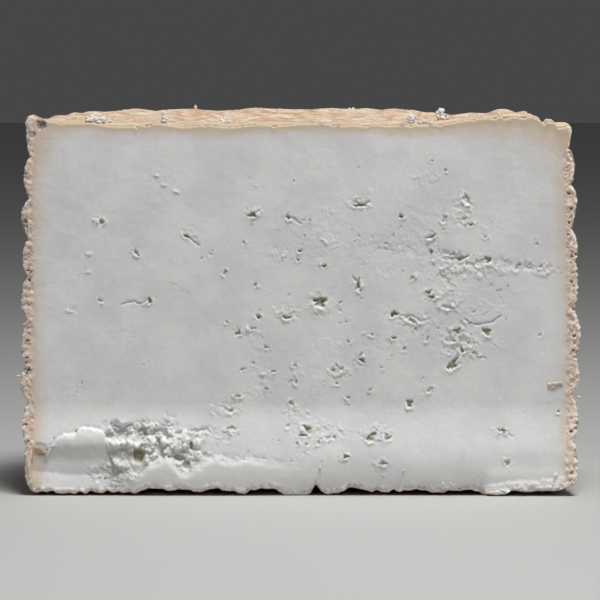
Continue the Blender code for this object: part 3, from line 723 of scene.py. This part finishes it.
def strands(round_way, place, pitch, x, y, z):
    """Slanting strands of the plait, which lean the other way on every second coil."""
    lean = np.where(np.floor(place) % 2 == 0, 1.0, -1.0)
    wander = 0.8 * noise(x, y, z, 4.0, STRAND_SEED)
    phase = (round_way + lean * pitch * place + wander) / STRAND_PITCH
    patchy = np.clip(0.75 + 0.7 * noise(x, y, z, 9.0, STRAND_SEED + 1), 0.15, 1.2)
    return patchy * (np.abs(np.sin(np.pi * phase)) ** 0.8 - 0.6)


def print_relief(angle, x, y, z, out, up):
    """How far the rind stands out from the nominal wheel, as its coils and its fine print and wrinkles."""
    bend = coil_bend(x, y, z)
    coil, mat = coil_number(angle, z + bend), (y + bend) / MAT_PITCH
    coarse = COIL_RELIEF * coils(coil) * out
    coarse = coarse + MAT_RELIEF * coils(mat) * np.clip(up, 0.0, 1.0)
    coarse = coarse + LUMP_RELIEF * noise(x, y, z, LUMP_SIZE, LUMP_SEED) * np.clip(up + 1.0, 0.0, 1.0)
    side_plait = strands(angle * RADIUS, coil, COIL_PITCH, x, y, z)
    top_plait = strands(x, mat, MAT_PITCH, x, y, z)
    plait = np.where(np.abs(up) < 0.7, side_plait * out, 0.5 * top_plait * np.abs(up))
    stretch = 1.0 + (WRINKLE_STRETCH - 1.0) * np.abs(up)
    wrinkle = WRINKLE_RELIEF * noise(x / stretch, y, z, WRINKLE_SIZE, WRINKLE_SEED)
    pits = PIT_RELIEF * ramp(noise(x, y, z, PIT_SIZE, PIT_SEED), *PIT_FROM)
    return coarse, STRAND_RELIEF * plait + wrinkle - pits


def rind(angle, along, inward=0.0, edge_back=0.0):
    """Points of the rind as x, y, z and its fine relief, with the knife plane at y = 0.

    The points lie inward of the surface, and their edge lies back from the cut's own edge, by millimetres.
    """
    radius, z, out, up = profile(along)
    radius = radius * waist(z)
    x, y = radius * np.cos(angle), radius * np.sin(angle)
    z = z + top_shape(x, y) * ramp(z, TOP_SHAPE_FROM, HEIGHT)
    coarse, fine = print_relief(angle, x, y, z, out, up)
    relief = coarse + fine
    base = ramp(up, -0.5, -1.0)
    relief = relief * (1.0 - base) - base * BASE_PRINT * np.clip(relief, 0.0, None) - inward
    edge = (END_ROUND + (SIDE_ROUND - END_ROUND) * out**2 + edge_back) * np.exp(-y / ROUND_FADE)
    x = x + relief * out * np.cos(angle)
    y = y + relief * out * np.sin(angle)
    z = z + relief * up
    xs, heights = np.array(HEM).T
    rag = HEM_RAG * noise(x, 0.0, 0.0, HEM_RAG_SIZE, HEM_SEED)
    hang = np.interp(x, xs, heights)
    hang = (hang + rag * ramp(hang, 0.1, 0.8)) * np.exp(-((y / HEM_FADE) ** 2))
    z = z + hang * ramp(z, HEM_HEIGHT, 0.0)
    y = y + edge + settle(x, z) * np.exp(-y / EDGE_FADE)
    return np.stack([x, y, z], axis=-1), fine


# Grids of points and the solids made of them

def coons(south, north, west, east):
    """Grid of points that fills four boundary curves."""
    u = np.linspace(0.0, 1.0, len(south))[None, :, None]
    v = np.linspace(0.0, 1.0, len(west))[:, None, None]
    rows = (1.0 - v) * south[None] + v * north[None]
    columns = (1.0 - u) * west[:, None] + u * east[:, None]
    corners = (1.0 - u) * ((1.0 - v) * south[0] + v * north[0])
    corners = corners + u * ((1.0 - v) * south[-1] + v * north[-1])
    return rows + columns - corners


def half_disc(columns, rows):
    """Angle and share of the radius over a half disc, its straight side first."""
    angles = np.linspace(np.pi, 0.0, columns + 2 * rows + 1)
    arc = np.stack([np.cos(angles), np.abs(np.sin(angles))], axis=-1)
    straight = np.stack([np.linspace(-1.0, 1.0, columns + 1), np.zeros(columns + 1)], axis=-1)
    back = arc[rows : rows + columns + 1]
    grid = coons(straight, back, arc[: rows + 1], arc[::-1][: rows + 1])
    grid[0, :, 1] = 0.0
    return np.arctan2(grid[..., 1], grid[..., 0]), np.hypot(grid[..., 0], grid[..., 1])


def outline(columns, levels):
    """Angle and length along the rind round the cut: base, right side, top and left side."""
    across = np.linspace(-1.0, 1.0, columns + 1)
    way = np.where(across < 0.0, np.pi, 0.0)
    climb = np.linspace(BASE_SHARE, RIND_LENGTH - TOP_SHARE, levels + 1)
    base = np.stack([way, np.abs(across) * BASE_SHARE], axis=-1)
    top = np.stack([way, RIND_LENGTH - np.abs(across) * TOP_SHARE], axis=-1)
    right = np.stack([np.zeros_like(climb), climb], axis=-1)
    left = np.stack([np.full_like(climb, np.pi), climb], axis=-1)
    return base, right, top, left


def closed_loop(base, right, top, left):
    """The four sides of the outline as one loop, without repeated corners."""
    return np.concatenate([base[:-1], right[:-1], top[:0:-1], left[:0:-1]])


def quads(grid, start, flipped, wraps=False):
    """Four-sided faces of a grid of points numbered from start."""
    index = start + np.arange(grid[..., 0].size).reshape(grid.shape[:2])
    if wraps:
        index = np.concatenate([index, index[:, :1]], axis=1)
    corners = [index[:-1, :-1], index[:-1, 1:], index[1:, 1:], index[1:, :-1]]
    return np.stack(corners[::-1] if flipped else corners, axis=-1).reshape(-1, 4)


def solid(name, grids, triangles):
    """A closed piece, thinned evenly, from grids as (points, values, flipped, wraps).

    The last row of the last grid is closed by one flat face. The values are numbers kept for each point,
    by name, which the piece's material reads.
    """
    faces, start = [], 0
    for points, _, flipped, wraps in grids:
        faces.append(quads(points, start, flipped, wraps))
        start += points[..., 0].size
    cap = range(start - grids[-1][0].shape[1], start)
    points = np.concatenate([grid[0].reshape(-1, 3) for grid in grids])
    faces = np.concatenate(faces)
    keys = np.round(points / WELD_GAP).astype(np.int64)
    _, first, merged = np.unique(keys, axis=0, return_index=True, return_inverse=True)
    merged = merged.reshape(-1)
    polygons = merged[faces].tolist() + [merged[cap].tolist()]
    mesh = bpy.data.meshes.new(name + "_full")
    mesh.from_pydata(((points[first] - (0.0, BOX_MIDDLE, 0.0)) * METRES).tolist(), [], polygons)
    mesh.shade_smooth()
    for key in grids[0][1]:
        numbers = np.concatenate([np.broadcast_to(grid[1][key], grid[0].shape[:2]).reshape(-1) for grid in grids])
        stored = mesh.attributes.new(key, "FLOAT", "POINT")
        stored.data.foreach_set("value", numbers[first].astype(np.float32))
    piece = bpy.data.objects.new(name, mesh)
    bpy.context.scene.collection.objects.link(piece)
    thin = piece.modifiers.new("thin", "DECIMATE")
    thin.ratio = min(1.0, triangles / (2.0 * len(faces) + len(cap)))
    thin.use_collapse_triangulate = True
    thinned = bpy.data.meshes.new_from_object(piece.evaluated_get(bpy.context.evaluated_depsgraph_get()))
    piece.modifiers.clear()
    piece.data = thinned
    bpy.data.meshes.remove(mesh)
    thinned.name = name
    return piece


def rind_values(points, fine):
    """What the rind's material needs at each point."""
    x, y, z = np.moveaxis(points, -1, 0)
    coil = coil_number(np.arctan2(np.clip(y, 0.0, None), x), z + coil_bend(x, y, z))
    return {"groove": 1.0 - np.abs(np.sin(np.pi * coil)), "relief": fine, "mould": mould_share(x, y, z),
            "height": z, "behind": y}


def rind_piece():
    """Side, top and base of the wheel, closed by a recess behind the cut face."""
    columns = round(2.0 * RADIUS / RIND_CELL)
    levels = round((RIND_LENGTH - BASE_SHARE - TOP_SHARE) / RIND_CELL)
    angle, share = half_disc(columns, RIND_ROWS)
    base = rind(angle, share * BASE_SHARE, 0.0, RIND_UNDER)
    top = rind(angle, RIND_LENGTH - share * TOP_SHARE, 0.0, RIND_UNDER)
    around = np.linspace(np.pi, 0.0, columns + 2 * RIND_ROWS + 1)
    along = np.linspace(BASE_SHARE, RIND_LENGTH - TOP_SHARE, levels + 1)
    side = rind(around[None, :], along[:, None], 0.0, RIND_UNDER)
    loop = closed_loop(*outline(columns, levels))
    rows = [rind(loop[:, 0], loop[:, 1], *place) for place in RECESS_WALL]
    back = rows[-1][0].copy()
    back[:, 1] = RECESS
    rows.append((back, rows[-1][1]))
    recess = [np.stack(part) for part in zip(*rows)]
    grids = [(points, rind_values(points, relief), flipped, wraps)
             for (points, relief), flipped, wraps in
             ((base, True, False), (top, False, False), (side, True, False), (recess, False, True))]
    return solid("cheese_rind", grids, RIND_TRIANGLES)


def face_piece():
    """The cut face as a thick plate, white paste with the cut rind round it."""
    columns = round(2.0 * RADIUS / FACE_CELL)
    levels = round((RIND_LENGTH - BASE_SHARE - TOP_SHARE) / FACE_CELL)
    sides = outline(columns, levels)
    base, right, top, left = [rind(s[:, 0], s[:, 1], -FACE_OUT)[0] for s in sides]
    face = coons(base, top, left, right)
    x, z = face[..., 0], face[..., 2]
    side = np.minimum(x - x[:, :1], x[:, -1:] - x)
    end = np.minimum(z - z[:1], z[-1:] - z)
    face[..., 1], detail, rough = face_depth(x, z, side, end)
    under = RADIUS * waist(z) - np.abs(x)
    nearness = END_NEARNESS * (1.0 - 0.45 * ramp(x, 20.0, 50.0))
    near = 1.0 / (1.0 / np.clip(under, 0.1, None) + 1.0 / np.clip(nearness * (z[-1:] - z), 0.1, None))
    values = {"under": under_rind(x, z), "near": near, "side": side, "foot": z - z[:1], "detail": detail, "rough": rough,
              "whey_and_shade": whey_and_shade(x, z), "mould": mould_share(x, 0.0, z)}
    edge = np.concatenate([face[0, :-1], face[:-1, -1], face[-1, :0:-1], face[:0:-1, 0]])
    walls = [rind(*closed_loop(*sides).T, *place)[0] for place in PLUG_WALL]
    back = walls[-1].copy()
    back[:, 1] = PLUG_DEPTH
    hidden = dict.fromkeys(values, 0.0)
    grids = ((face, values, False, False), (np.stack([edge, *walls, back]), hidden, False, True))
    return solid("cheese_cut_face", grids, FACE_TRIANGLES)


def mould_share(x, y, z):
    """Share of grey mould: a furry spot by the upper left corner of the cut, and a fainter one below it."""
    share = 0.0
    for cx, cz, size, most in MOULD_SPOTS:
        off = np.hypot(x - cx, z - cz) + 0.35 * noise(x, y, z, 0.8, LIP_SEED)
        share = np.maximum(share, most * ramp(off, size, 0.4 * size) * bell(y, 2.0))
    return share


# Materials

class Paint:
    """A node material, with short ways to add the nodes used here."""

    def __init__(self, name):
        self.material = bpy.data.materials.new(name)
        self.material.use_nodes = True
        self.nodes = self.material.node_tree.nodes
        self.links = self.material.node_tree.links
        self.shader = self.nodes["Principled BSDF"]
        self.place = self.nodes.new("ShaderNodeTexCoord").outputs["Object"]

    def set(self, socket, value):
        """Links a socket or stores a plain value in it."""
        if isinstance(value, bpy.types.NodeSocket):
            self.links.new(value, socket)
        else:
            socket.default_value = value

    def stored(self, name):
        node = self.nodes.new("ShaderNodeAttribute")
        node.attribute_name = name
        return node.outputs["Fac"]

    def stretched(self, scale):
        node = self.nodes.new("ShaderNodeMapping")
        self.set(node.inputs["Vector"], self.place)
        node.inputs["Scale"].default_value = scale
        return node.outputs["Vector"]

    def noise(self, size, detail=3.0, rough=0.55, vector=None):
        """Noise from 0 to 1 whose bumps measure about size millimetres."""
        node = self.nodes.new("ShaderNodeTexNoise")
        self.set(node.inputs["Vector"], vector or self.place)
        node.inputs["Scale"].default_value = 1.0 / (size * METRES)
        node.inputs["Detail"].default_value = detail
        node.inputs["Roughness"].default_value = rough
        return node.outputs["Fac"]

    def cells(self, size):
        node = self.nodes.new("ShaderNodeTexVoronoi")
        self.set(node.inputs["Vector"], self.place)
        node.inputs["Scale"].default_value = 1.0 / (size * METRES)
        return node.outputs["Distance"]

    def graded(self, value, low, high, to_low=0.0, to_high=1.0):
        node = self.nodes.new("ShaderNodeMapRange")
        node.interpolation_type = "SMOOTHSTEP"
        for name, given in zip(("Value", "From Min", "From Max", "To Min", "To Max"),
                               (value, low, high, to_low, to_high)):
            self.set(node.inputs[name], given)
        return node.outputs["Result"]

    def sum(self, operation, first, second):
        node = self.nodes.new("ShaderNodeMath")
        node.operation = operation
        self.set(node.inputs[0], first)
        self.set(node.inputs[1], second)
        return node.outputs["Value"]

    def mixed(self, share, first, second):
        node = self.nodes.new("ShaderNodeMix")
        node.data_type = "RGBA"
        self.set(node.inputs["Factor"], share)
        self.set(node.inputs["A"], first)
        self.set(node.inputs["B"], second)
        return node.outputs["Result"]

    def bumped(self, height, strength, distance):
        node = self.nodes.new("ShaderNodeBump")
        node.inputs["Strength"].default_value = strength
        node.inputs["Distance"].default_value = distance * METRES
        self.set(node.inputs["Height"], height)
        self.set(self.shader.inputs["Normal"], node.outputs["Normal"])


def colour(red, green, blue):
    """A display colour from 0 to 255 as a linear one."""
    parts = [value / 255.0 for value in (red, green, blue)]
    return tuple(p / 12.92 if p <= 0.04045 else ((p + 0.055) / 1.055) ** 2.4 for p in parts) + (1.0,)


PASTE_WHITE = colour(230, 230, 229)
PASTE_GREY = colour(221, 221, 221)
PASTE_TINT = colour(222, 213, 207)
PASTE_TAN = colour(217, 201, 183)
EDGE_TAN = colour(202, 182, 156)
# Painted shadow along the lower edge of the wedge by the left rind
WEDGE_SHADOW_TAN = colour(186, 160, 130)
# Olive of whey, also used as painted shade under the slab's left block
PASTE_WHEY_AND_SHADE = colour(184, 179, 148)
# White of torn curd, also painted on proud places as highlight
PASTE_TORN_AND_HIGHLIGHT = colour(242, 242, 240)
CRUMB_BEIGE = colour(218, 206, 196)
PASTE_SHADE = colour(196, 196, 190)
RIND_BEIGE = colour(200, 180, 158)
TOP_TAN = colour(192, 152, 116)
TOP_CREAM = colour(226, 210, 184)
RIND_ORANGE = colour(202, 168, 138)
CUT_CREAM = colour(235, 219, 205)
CUT_TAN = colour(211, 190, 172)
CUT_ROSE = colour(208, 178, 166)
# Painted highlight along the cut's outer edge, in place of a rim light
OUTLINE_HIGHLIGHT = colour(244, 236, 224)
# Whitish bloom of the rind, also painted on raised relief as highlight
RIND_BLOOM_AND_HIGHLIGHT = colour(228, 216, 200)
# Brown of the rind's dark spots and streaks, also painted into its low places as shade
RIND_BROWN_AND_SHADE = colour(140, 114, 92)
MOULD_GREY = colour(178, 168, 166)
MOULD_DARK = colour(104, 94, 88)
FLOOR_COLOUR = colour(192, 192, 190)


def face_material():
    paint = Paint("goat_cheese_cut")
    under, detail = paint.stored("under"), paint.stored("detail")
    cloud = paint.noise(11.0, 3.0)
    paste = paint.mixed(paint.graded(cloud, 0.35, 0.65), PASTE_GREY, PASTE_WHITE)
    way = paint.sum("ADD", paint.stored("near"), paint.graded(paint.noise(7.0, 3.0), 0.3, 0.7, -0.7, 0.7))
    paste = paint.mixed(paint.graded(way, 2.6, 6.5, 0.5, 0.0), paste, PASTE_TINT)
    paste = paint.mixed(paint.graded(way, 1.6, 4.2, 0.9, 0.0), paste, PASTE_TAN)
    paste = paint.mixed(paint.graded(paint.stored("near"), 0.4, 2.4, 0.9, 0.0), paste, EDGE_TAN)
    paste = paint.mixed(paint.graded(paint.noise(0.6, 4.0, 0.7), 0.52, 0.68, 0.0, 0.35), paste, PASTE_SHADE)
    torn = paint.stored("rough")
    flecks = paint.sum("MULTIPLY", paint.graded(paint.noise(0.5, 3.0, 0.7), 0.5, 0.62), paint.graded(torn, 0.02, 0.35))
    paste = paint.mixed(paint.sum("MULTIPLY", flecks, 0.8), paste, PASTE_TORN_AND_HIGHLIGHT)
    shade = paint.sum("MULTIPLY", paint.graded(paint.noise(0.7, 3.0, 0.7), 0.5, 0.38), paint.graded(torn, 0.05, 0.45))
    paste = paint.mixed(paint.sum("MULTIPLY", shade, 0.5), paste, PASTE_SHADE)
    # Proud places painted whiter: torn curd's white, and a painted highlight on what stands forward
    paste = paint.mixed(paint.graded(detail, -0.05, -0.35, 0.0, 0.6), paste, PASTE_TORN_AND_HIGHLIGHT)
    # Olive whey tint, which also paints shade under the slab's left block; near the left rind it turns to the tan of
    # the wedge's painted shadow
    whey_and_shade_tint = paint.mixed(paint.graded(under, 5.5, 4.0), PASTE_WHEY_AND_SHADE, WEDGE_SHADOW_TAN)
    paste = paint.mixed(paint.stored("whey_and_shade"), paste, whey_and_shade_tint)
    fray = paint.graded(paint.noise(1.6, 3.0), 0.3, 0.7, -0.5, 0.5)
    share = paint.graded(paint.sum("ADD", under, fray), CUT_RIND + 0.4, CUT_RIND - 0.4)
    hem = paint.graded(paint.sum("ADD", paint.stored("foot"), fray), HEM_TINT + 0.5, HEM_TINT - 0.4)
    share = paint.sum("MAXIMUM", share, paint.sum("MULTIPLY", hem, 0.75))
    hue = paint.mixed(paint.graded(paint.noise(1.3, 4.0, 0.65), 0.4, 0.6), CUT_TAN, CUT_CREAM)
    hue = paint.mixed(paint.graded(paint.noise(2.4, 4.0), 0.5, 0.64, 0.0, 0.7), hue, CUT_ROSE)
    # Painted shade in the cut rind's recesses, and a painted highlight on its proud strand ends
    hue = paint.mixed(paint.graded(detail, 0.1, 0.5, 0.0, 0.85), hue, RIND_BROWN_AND_SHADE)
    hue = paint.mixed(paint.graded(detail, -0.08, -0.25, 0.0, 0.6), hue, RIND_BLOOM_AND_HIGHLIGHT)
    base = paint.mixed(share, paste, hue)
    # Painted highlight: the outermost edge of the cut is painted cream, as if a rim light caught it
    base = paint.mixed(paint.graded(paint.stored("side"), 0.25, 0.7, 0.85, 0.0), base, OUTLINE_HIGHLIGHT)
    mould = paint.mixed(paint.graded(paint.noise(0.5, 3.0, 0.7), 0.45, 0.6), MOULD_DARK, MOULD_GREY)
    base = paint.mixed(paint.stored("mould"), base, mould)
    paint.set(paint.shader.inputs["Base Color"], base)
    paint.set(paint.shader.inputs["Roughness"], paint.graded(paint.noise(1.2), 0.3, 0.7, 0.45, 0.62))
    paint.shader.inputs["Subsurface Weight"].default_value = 0.5
    paint.shader.inputs["Subsurface Radius"].default_value = (1.0, 0.92, 0.8)
    paint.shader.inputs["Subsurface Scale"].default_value = 0.0011
    paint.shader.inputs["Specular IOR Level"].default_value = 0.3
    streaks = paint.noise(0.7, 2.0, vector=paint.stretched((0.12, 1.0, 1.0)))
    grain = paint.sum("ADD", paint.sum("MULTIPLY", streaks, 0.25), paint.noise(0.5, 3.0))
    crumbled = paint.sum("MULTIPLY", paint.noise(0.45, 3.0, 0.7), paint.graded(torn, 0.0, 0.4, 0.0, 12.0))
    paint.bumped(paint.sum("ADD", grain, crumbled), 0.22, 0.08)
    return paint.material


def rind_material():
    paint = Paint("goat_cheese_rind")
    relief = paint.stored("relief")
    streaked = paint.stretched((0.5, 1.0, 1.0))
    hue = paint.mixed(paint.graded(paint.noise(5.0, 4.0, vector=streaked), 0.42, 0.6), RIND_BEIGE, RIND_ORANGE)
    bloom = paint.graded(paint.noise(3.0, 5.0, 0.65, streaked), 0.42, 0.6)
    # Whitish bloom in patches, and a painted highlight on the raised crests of the relief
    crest = paint.graded(relief, -0.02, 0.2)
    hue = paint.mixed(paint.sum("MULTIPLY", paint.sum("MAXIMUM", bloom, crest), 0.7), hue, RIND_BLOOM_AND_HIGHLIGHT)
    # Painted shade: the relief's low places and the coil grooves are darkened brown, in uneven patches
    patchy = paint.graded(paint.noise(2.2, 4.0), 0.35, 0.65, 0.3, 1.0)
    low = paint.sum("MULTIPLY", paint.graded(relief, -0.08, -0.42), patchy)
    low = paint.sum("MAXIMUM", low, paint.sum("MULTIPLY", paint.sum("MULTIPLY", paint.stored("groove"), patchy), 0.5))
    hue = paint.mixed(paint.sum("MULTIPLY", low, 0.75), hue, RIND_BROWN_AND_SHADE)
    spots = paint.graded(paint.noise(1.5, 3.0), 0.66, 0.74, 0.0, 0.7)
    hue = paint.mixed(spots, hue, RIND_BROWN_AND_SHADE)
    top = paint.graded(paint.stored("height"), 85.5, 87.5)
    hue = paint.mixed(paint.sum("MULTIPLY", top, paint.graded(paint.noise(2.4, 5.0, 0.7, streaked), 0.44, 0.6)), hue, TOP_TAN)
    pale = paint.graded(paint.noise(1.7, 5.0, 0.7, streaked), 0.5, 0.62, 0.0, 0.8)
    hue = paint.mixed(paint.sum("MULTIPLY", top, pale), hue, TOP_CREAM)
    dark = paint.graded(paint.noise(1.1, 4.0, 0.7, streaked), 0.58, 0.68, 0.0, 0.6)
    hue = paint.mixed(paint.sum("MULTIPLY", top, dark), hue, RIND_BROWN_AND_SHADE)
    hue = paint.mixed(paint.graded(paint.stored("height"), 89.2, 90.2, 0.0, 0.7), hue, TOP_CREAM)
    edge = paint.sum("MULTIPLY", top, paint.graded(paint.stored("behind"), 6.0, 1.5))
    hue = paint.mixed(paint.sum("MULTIPLY", edge, paint.graded(paint.noise(4.0, 4.0), 0.35, 0.55, 0.3, 0.9)), hue, EDGE_TAN)
    mould = paint.mixed(paint.graded(paint.noise(0.5, 3.0, 0.7), 0.45, 0.6), MOULD_DARK, MOULD_GREY)
    hue = paint.mixed(paint.stored("mould"), hue, mould)
    paint.set(paint.shader.inputs["Base Color"], hue)
    paint.set(paint.shader.inputs["Roughness"], paint.graded(paint.noise(2.0), 0.3, 0.7, 0.6, 0.8))
    paint.shader.inputs["Subsurface Weight"].default_value = 0.12
    paint.shader.inputs["Subsurface Radius"].default_value = (1.0, 0.75, 0.55)
    paint.shader.inputs["Subsurface Scale"].default_value = 0.0006
    fibre = paint.noise(0.4, 4.0, 0.6)
    paint.bumped(paint.sum("ADD", fibre, paint.cells(0.6)), 0.5, 0.16)
    return paint.material


def crumb_material():
    paint = Paint("goat_cheese_crumb")
    white = paint.mixed(paint.graded(paint.noise(0.9, 3.0), 0.4, 0.6), CRUMB_BEIGE, PASTE_WHITE)
    paint.set(paint.shader.inputs["Base Color"], white)
    paint.shader.inputs["Roughness"].default_value = 0.6
    paint.bumped(paint.noise(0.3, 3.0), 0.5, 0.1)
    return paint.material


# Heaps of crumbs on the top: x, y behind the knife plane, half width, height, crumbs in the heap, half size
HEAPS = (
    (-48.1, 1.8, 1.7, 1.2, 70, 0.5), (-31.9, 1.2, 0.4, 1.8, 24, 0.4), (-18.2, 10.0, 0.9, 1.2, 24, 0.4),
    (26.2, 2.0, 0.8, 1.3, 26, 0.42), (33.3, 4.0, 1.3, 2.2, 60, 0.36), (-26.0, 57.5, 0.25, 0.3, 3, 0.35),
    (12.3, 61.5, 0.2, 0.3, 2, 0.38), (13.3, 61.5, 0.2, 0.4, 3, 0.4), (-44.5, 2.5, 0.8, 0.3, 5, 0.25),
    (29.0, 5.0, 2.5, 0.2, 9, 0.22), (-20.0, 6.0, 3.0, 0.2, 7, 0.2), (47.0, 2.0, 3.0, 0.2, 6, 0.2),
)

# Single white flecks on the rind's edge: x, y, z, half length, half thickness
FLECKS = (
    (-66.5, 1.4, 28.1, 0.95, 0.26), (65.9, 1.6, 23.1, 0.5, 0.22), (-65.2, 1.2, 40.3, 0.35, 0.3), (46.2, -3.0, 0.9, 1.9, 0.45),
    (4.8, -3.2, 6.9, 0.3, 0.4), (33.7, -2.6, 2.8, 0.3, 0.5), (35.6, -2.6, 2.8, 0.25, 0.5), (24.4, -2.9, 6.1, 0.3, 0.3),
)

# Bits of rind, one that lies on the cut face and some on the top's edge: lumps as x, y, z, half length, half thickness
RIND_FLAKE = (
    (59.2, -0.25, 26.2, 0.75, 0.4), (60.2, -0.35, 26.4, 0.8, 0.45), (61.2, -0.3, 26.5, 0.75, 0.38),
    (59.8, -0.2, 25.7, 0.6, 0.3), (28.2, 1.3, 87.6, 0.7, 0.7), (29.4, 1.5, 88.0, 0.9, 0.8), (30.7, 1.3, 87.7, 0.8, 0.7),
)


def lump(draw, centre, halves):
    """Points and faces of one ragged lump, from a round one."""
    shape = bmesh.new()
    bmesh.ops.create_icosphere(shape, subdivisions=3, radius=1.0)
    points = np.array([tuple(vertex.co) for vertex in shape.verts])
    faces = np.array([[vertex.index for vertex in face.verts] for face in shape.faces])
    shape.free()
    shift = draw.uniform(0.0, 50.0, 3)
    push = 1.0 + 0.4 * noise(*(points * 1.3 + shift).T, 1.0, CRUMB_SEED) + 0.2 * noise(*(points * 3.5 + shift).T, 1.0, CRUMB_SEED)
    return points * push[:, None] * halves + centre, faces


def top_height(x, y):
    """Height of the top of the rind at x and y, both behind the knife plane."""
    share = np.hypot(x, y) / (RADIUS - TOP_CORNER)
    return float(rind(np.array([np.arctan2(y, x)]), np.array([RIND_LENGTH - share * TOP_SHARE]))[0][0, 2])


def joined(name, lumps):
    """One piece from many lumps."""
    points, faces, start = [], [], 0
    for made, sides in lumps:
        points.append(made)
        faces.append(sides + start)
        start += len(made)
    mesh = bpy.data.meshes.new(name)
    placed = (np.concatenate(points) - (0.0, BOX_MIDDLE, 0.0)) * METRES
    mesh.from_pydata(placed.tolist(), [], np.concatenate(faces).tolist())
    mesh.shade_smooth()
    piece = bpy.data.objects.new(name, mesh)
    bpy.context.scene.collection.objects.link(piece)
    return piece


def crumbs_piece():
    draw = np.random.default_rng(CRUMB_SEED)
    lumps = []
    for cx, cy, spread, rise, count, half in HEAPS:
        for _ in range(count):
            up = draw.random()
            x = cx + draw.normal(0.0, 0.6) * spread * (1.0 - 0.6 * up)
            y = max(0.7, cy + (0.9 * (up - 0.5) + draw.normal(0.0, 0.2)) * spread)
            halves = half * draw.uniform(0.7, 1.2, 3)
            lumps.append(lump(draw, (x, y, top_height(x, y) + 0.5 * halves[2] + rise * up), halves))
    for x, y, z, half_x, half_z in FLECKS:
        lumps.append(lump(draw, (x, y, z), (half_x, half_z, half_z)))
    return joined("white_crumbs", lumps)


def flake_piece():
    draw = np.random.default_rng(FLAKE_SEED)
    return joined("rind_flake", [lump(draw, (x, y, z), (half_x, 0.3, half_z)) for x, y, z, half_x, half_z in RIND_FLAKE])


def dress(piece, material):
    piece.data.materials.clear()
    piece.data.materials.append(material)
    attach(piece, "root")


def make_cheese():
    dress(face_piece(), face_material())
    rind_solid = rind_piece()
    rind_look = rind_material()
    dress(rind_solid, rind_look)
    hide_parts("cheese")
    dress(flake_piece(), rind_look)
    dress(crumbs_piece(), crumb_material())


# Camera, light and floor
VIEW_WIDTH = 0.1415
VIEW_DISTANCE = 1.0
EYE_HEIGHT = 0.117
AIM_HEIGHT = 0.0462


def make_camera():
    data = bpy.data.cameras.new("camera")
    camera = bpy.data.objects.new("camera", data)
    bpy.context.scene.collection.objects.link(camera)
    knife_plane = -BOX_MIDDLE * METRES
    camera.location = (0.0, knife_plane - VIEW_DISTANCE, EYE_HEIGHT)
    aim = Vector((0.0, knife_plane, AIM_HEIGHT)) - camera.location
    camera.rotation_euler = aim.to_track_quat("-Z", "Y").to_euler()
    data.lens = data.sensor_width * aim.length / VIEW_WIDTH
    bpy.context.scene.camera = camera


def area_light(name, place, aim, size, power, tint=(1.0, 1.0, 1.0)):
    data = bpy.data.lights.new(name, "AREA")
    data.shape = "RECTANGLE"
    data.size, data.size_y = size
    data.energy = power
    data.color = tint
    light = bpy.data.objects.new(name, data)
    bpy.context.scene.collection.objects.link(light)
    light.location = place
    light.rotation_euler = (Vector(aim) - Vector(place)).to_track_quat("-Z", "Y").to_euler()


def make_studio():
    mesh = bpy.data.meshes.new("floor")
    half = 3.0
    mesh.from_pydata([(-half, -half, 0), (half, -half, 0), (half, half, 0), (-half, half, 0)], [], [(0, 1, 2, 3)])
    paint = Paint("studio_floor")
    paint.set(paint.shader.inputs["Base Color"], FLOOR_COLOUR)
    paint.shader.inputs["Roughness"].default_value = 0.7
    mesh.materials.append(paint.material)
    floor = bpy.data.objects.new("floor", mesh)
    bpy.context.scene.collection.objects.link(floor)
    world = bpy.data.worlds.new("studio")
    world.use_nodes = True
    world.node_tree.nodes["Background"].inputs["Color"].default_value = (0.9, 0.9, 0.92, 1.0)
    world.node_tree.nodes["Background"].inputs["Strength"].default_value = 0.07
    bpy.context.scene.world = world
    area_light("key", (0.12, -0.29, 0.76), (0.0, -0.02, 0.04), (0.30, 0.25), 6.6)
    area_light("fill", (-0.5, -0.9, 0.45), (0.0, 0.0, 0.04), (0.6, 0.5), 0.2)
    bpy.context.scene.view_settings.view_transform = "Standard"


make_cheese()
make_camera()
make_studio()
